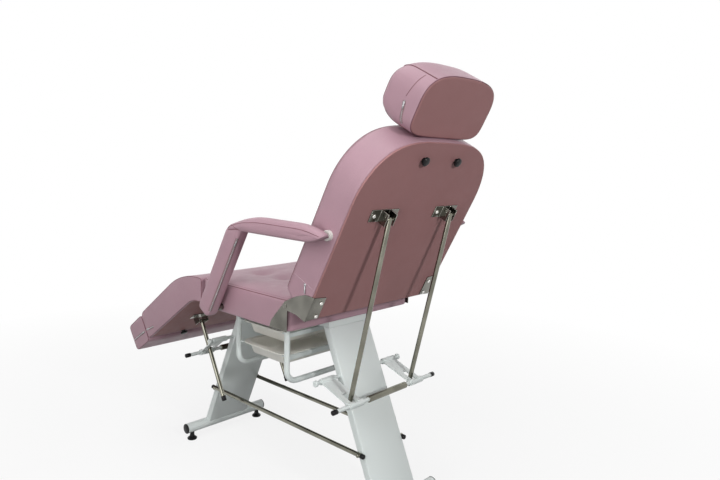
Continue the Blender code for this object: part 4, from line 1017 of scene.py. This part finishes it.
starts = [at(BACK, x, HEAD_LOW - POST_LEN, POST_FORE) for x in (-POST_X, POST_X)]
rods("head_posts", starts, back_up, POST_LEN + 0.012, POST_R, "headrest")
starts = [at(LEG, x, FOOT_START - RUNNER_LEN, RUNNER_V) for x in (-RUNNER_X, RUNNER_X)]
rods("foot_runners", starts, leg_down, RUNNER_LEN + 0.012, RUNNER_R, "foot_pad")
for side in ("left", "right"):
    for word in ("back_strut_", "leg_strut_"):
        bar = word + side
        way = corner_points(frame["nodes"][bar].data).mean(axis=0) - joint_at(bar + "_swing")
        tip = end_of(bar, way / np.linalg.norm(way))
        way = tip - joint_at(bar + "_swing")
        plugs(bar + "_plug", [(tip, way / np.linalg.norm(way))], STRUT_R, PLUG_WALL, PLUG_LEN, bar)
for word in ("rear_release", "front_release"):
    ends = [(end_of(word + "_bar", way), way) for way in (X, -X)]
    plugs(word + "_plugs", ends, RELEASE_R, PLUG_WALL, PLUG_LEN, word)
for side in ("left", "right"):
    bar = "stretcher_" + side
    ends = [(end_of(bar, way), way) for way in (Y, -Y)]
    plugs(bar + "_plugs", ends, STRETCHER_R, FLUSH_WALL, FLUSH_LEN, "base")
cover_face = node_box(BACK, "backrest_panel")[0][2] - FIT - SHEET
flange_face = node_box(BACK, "back_hinge_left")[0][2]
back_spots = [at(BACK, sign * HINGE_SCREW_X, up, flange_face)
              for sign in (-1, 1) for up in HINGE_SCREWS_UP]
back_spots += [at(BACK, sign * BRACKET_X + x, BRACKET_UP, cover_face)
               for sign in (-1, 1) for x in (-BRACKET_SCREW, BRACKET_SCREW)]
screws("back_screws", [(spot, -BACK[3]) for spot in back_spots], 0.0062, 0.0046, "backrest")
under_face = -LEG_UNDER - FIT - SHEET
leg_spots = [at(LEG, sign * LEG_BRACKET_X + x, LEG_BRACKET_DOWN, under_face)
             for sign in (-1, 1) for x in (-LEG_BRACKET_SCREW, LEG_BRACKET_SCREW)]
screws("leg_screws", [(spot, -LEG[3]) for spot in leg_spots], 0.0045, 0.0026, "legrest")


# Finishes of the CAD pieces that stay
def crisp_nodes():
    """Node group that shares corners, smooths rounds and keeps edges over thirty degrees sharp."""
    tree = bpy.data.node_groups.new("crisp", "GeometryNodeTree")
    tree.interface.new_socket("Geometry", in_out="INPUT", socket_type="NodeSocketGeometry")
    tree.interface.new_socket("Geometry", in_out="OUTPUT", socket_type="NodeSocketGeometry")
    merge = tree.nodes.new("GeometryNodeMergeByDistance")
    merge.inputs["Distance"].default_value = 0.00002
    plain = tree.nodes.new("GeometryNodeRemoveAttribute")
    plain.inputs["Name"].default_value = "custom_normal"
    round_faces = tree.nodes.new("GeometryNodeSetShadeSmooth")
    round_edges = tree.nodes.new("GeometryNodeSetShadeSmooth")
    round_edges.domain = "EDGE"
    sharp_edges = tree.nodes.new("GeometryNodeSetShadeSmooth")
    sharp_edges.domain = "EDGE"
    sharp_edges.inputs["Shade Smooth"].default_value = False
    angle = tree.nodes.new("GeometryNodeInputMeshEdgeAngle")
    over = tree.nodes.new("FunctionNodeCompare")
    over.operation = "GREATER_THAN"
    over.inputs["B"].default_value = math.radians(30.0)
    tree.links.new(angle.outputs["Unsigned Angle"], over.inputs["A"])
    tree.links.new(over.outputs["Result"], sharp_edges.inputs["Selection"])
    chain = [tree.nodes.new("NodeGroupInput"), merge, plain, round_faces, round_edges, sharp_edges,
             tree.nodes.new("NodeGroupOutput")]
    for first, second in zip(chain, chain[1:]):
        tree.links.new(first.outputs["Geometry"], second.inputs["Geometry"])
    return tree


def ease_edges(node, width):
    """Eased edges and clean shading on a kept piece."""
    shade = node.modifiers.new("crisp", "NODES")
    shade.node_group = CRISP
    ease = node.modifiers.new("ease", "BEVEL")
    ease.width = width
    ease.segments = 2
    ease.limit_method = "ANGLE"
    ease.angle_limit = math.radians(38.0)


CRISP = crisp_nodes()
for name, node in frame["nodes"].items():
    if "tray" in name:
        look = IVORY
    elif "cap" in name or "knob" in name or "leveller" in name:
        look = BLACK
    elif "sleeve" in name or "strut" in name or "stretcher" in name:
        look = CHROME
    elif "hinge" in name or "bracket" in name or "lug" in name:
        look = STEEL
    elif "bush" in name:
        look = NYLON
    # The back panel takes the darker cover vinyl: painted shade on the back, which faces away from the lamps.
    elif name == "backrest_panel":
        look = SHADE_COVER
    else:
        look = ENAMEL
    node.data.materials.clear()
    node.data.materials.append(look)
    ease_edges(node, 0.0018 if name == "backrest_panel" else 0.0006)


# Stage, light and camera
def stand(made, side, over, back, place):
    """Links an object into the scene with its three axes at its place."""
    rows = np.column_stack([side, over, back, place])
    made.matrix_world = Matrix(np.vstack([rows, [0.0, 0.0, 0.0, 1.0]]).tolist())
    bpy.context.scene.collection.objects.link(made)


def lamp(name, place, target, size, power):
    """Square soft lamp that looks at a target."""
    light = bpy.data.lights.new(name, "AREA")
    light.size = size
    light.energy = power
    made = bpy.data.objects.new(name, light)
    way = np.array(target) - np.array(place)
    way = way / np.linalg.norm(way)
    side = np.cross(way, Z)
    side = side / np.linalg.norm(side)
    stand(made, side, np.cross(side, way), -way, place)


def seen_rays(tree):
    """One for rays that come straight from the camera or by way of metal or glass."""
    path = tree.nodes.new("ShaderNodeLightPath")
    total = path.outputs["Is Camera Ray"]
    for name in ("Is Glossy Ray", "Is Transmission Ray"):
        node = tree.nodes.new("ShaderNodeMath")
        node.operation = "MAXIMUM"
        tree.links.new(total, node.inputs[0])
        tree.links.new(path.outputs[name], node.inputs[1])
        total = node.outputs[0]
    return total


def make_floor():
    """Pale floor that keeps a soft shadow of the couch and turns plain white far from it."""
    data = bpy.data.meshes.new("floor")
    reach = 12.0
    shadow_near, shadow_far, shadow_glow = 0.9, 2.8, 0.83
    corners = [(-reach, -reach, 0.0), (reach, -reach, 0.0), (reach, reach, 0.0), (-reach, reach, 0.0)]
    data.from_pydata(corners, [], [(0, 1, 2, 3)])
    look = bpy.data.materials.new("pale floor")
    look.use_nodes = True
    tree = look.node_tree
    shader = tree.nodes["Principled BSDF"]
    shader.inputs["Base Color"].default_value = (0.08, 0.08, 0.08, 1.0)
    shader.inputs["Roughness"].default_value = 0.9
    pale = tree.nodes.new("ShaderNodeBsdfDiffuse")
    pale.inputs["Color"].default_value = (0.9, 0.9, 0.9, 1.0)
    glow = tree.nodes.new("ShaderNodeEmission")
    glow.inputs["Strength"].default_value = 1.0
    away = tree.nodes.new("ShaderNodeVectorMath")
    away.operation = "LENGTH"
    tree.links.new(tree.nodes.new("ShaderNodeTexCoord").outputs["Object"], away.inputs[0])
    shown = tree.nodes.new("ShaderNodeMixShader")
    glow_share = ranged(tree, away.outputs["Value"], shadow_near, shadow_far, shadow_glow, 1.0)
    tree.links.new(glow_share, shown.inputs[0])
    blend = tree.nodes.new("ShaderNodeMixShader")
    tree.links.new(pale.outputs[0], shown.inputs[1])
    tree.links.new(glow.outputs[0], shown.inputs[2])
    tree.links.new(seen_rays(tree), blend.inputs[0])
    tree.links.new(shader.outputs[0], blend.inputs[1])
    tree.links.new(shown.outputs[0], blend.inputs[2])
    tree.links.new(blend.outputs[0], tree.nodes["Material Output"].inputs["Surface"])
    data.materials.append(look)
    made = bpy.data.objects.new("floor", data)
    bpy.context.scene.collection.objects.link(made)


def make_sky():
    """White room: full white where it is seen, a softer grey where it only lights."""
    world = bpy.data.worlds.new("white room")
    bpy.context.scene.world = world
    world.use_nodes = True
    tree = world.node_tree
    tree.nodes.clear()
    soft = tree.nodes.new("ShaderNodeBackground")
    soft.inputs["Color"].default_value = (1.0, 1.0, 1.0, 1.0)
    soft.inputs["Strength"].default_value = 0.20
    seen = tree.nodes.new("ShaderNodeBackground")
    seen.inputs["Color"].default_value = (1.0, 1.0, 1.0, 1.0)
    seen.inputs["Strength"].default_value = 1.0
    blend = tree.nodes.new("ShaderNodeMixShader")
    tree.links.new(seen_rays(tree), blend.inputs[0])
    tree.links.new(soft.outputs[0], blend.inputs[1])
    tree.links.new(seen.outputs[0], blend.inputs[2])
    tree.links.new(blend.outputs[0], tree.nodes.new("ShaderNodeOutputWorld").inputs["Surface"])


def make_camera():
    """Camera of the photograph: its place from the seat's rear edge, its three turns and its lens."""
    yaw, pitch, roll = 0.7442946, 0.1287290, -0.0281530
    from_seat = np.array([1.4035, 1.3094, 1.1017])
    picture_width = 720.0
    focal_pixels = 610.7336
    ahead = np.array([-math.cos(yaw) * math.cos(pitch), -math.sin(yaw) * math.cos(pitch), -math.sin(pitch)])
    right = np.cross(ahead, Z)
    right = right / np.linalg.norm(right)
    down = np.cross(ahead, right)
    side = math.cos(roll) * right + math.sin(roll) * down
    low = -math.sin(roll) * right + math.cos(roll) * down
    data = bpy.data.cameras.new("camera")
    data.sensor_width = 36.0
    data.lens = data.sensor_width * focal_pixels / picture_width
    data.clip_end = 60.0
    made = bpy.data.objects.new("camera", data)
    stand(made, side, -low, -ahead, SEAT[0] + from_seat)
    bpy.context.scene.camera = made


make_floor()
make_sky()
make_camera()
lamp("side lamp", (2.7, 0.8, 2.7), (0.0, 0.2, 0.8), 2.2, 46.0)
lamp("low lamp", (2.8, 1.2, 0.75), (0.0, 0.1, 0.5), 1.5, 23.0)
lamp("back lamp", (0.6, 3.6, 2.0), (0.0, 0.3, 0.8), 0.35, 42.0)
lamp("top lamp", (0.3, -0.5, 4.0), (0.0, 0.0, 0.6), 2.4, 36.0)
lamp("far lamp", (-2.8, 0.2, 1.5), (0.0, 0.1, 0.7), 2.2, 11.0)
bpy.context.scene.view_settings.view_transform = "Standard"
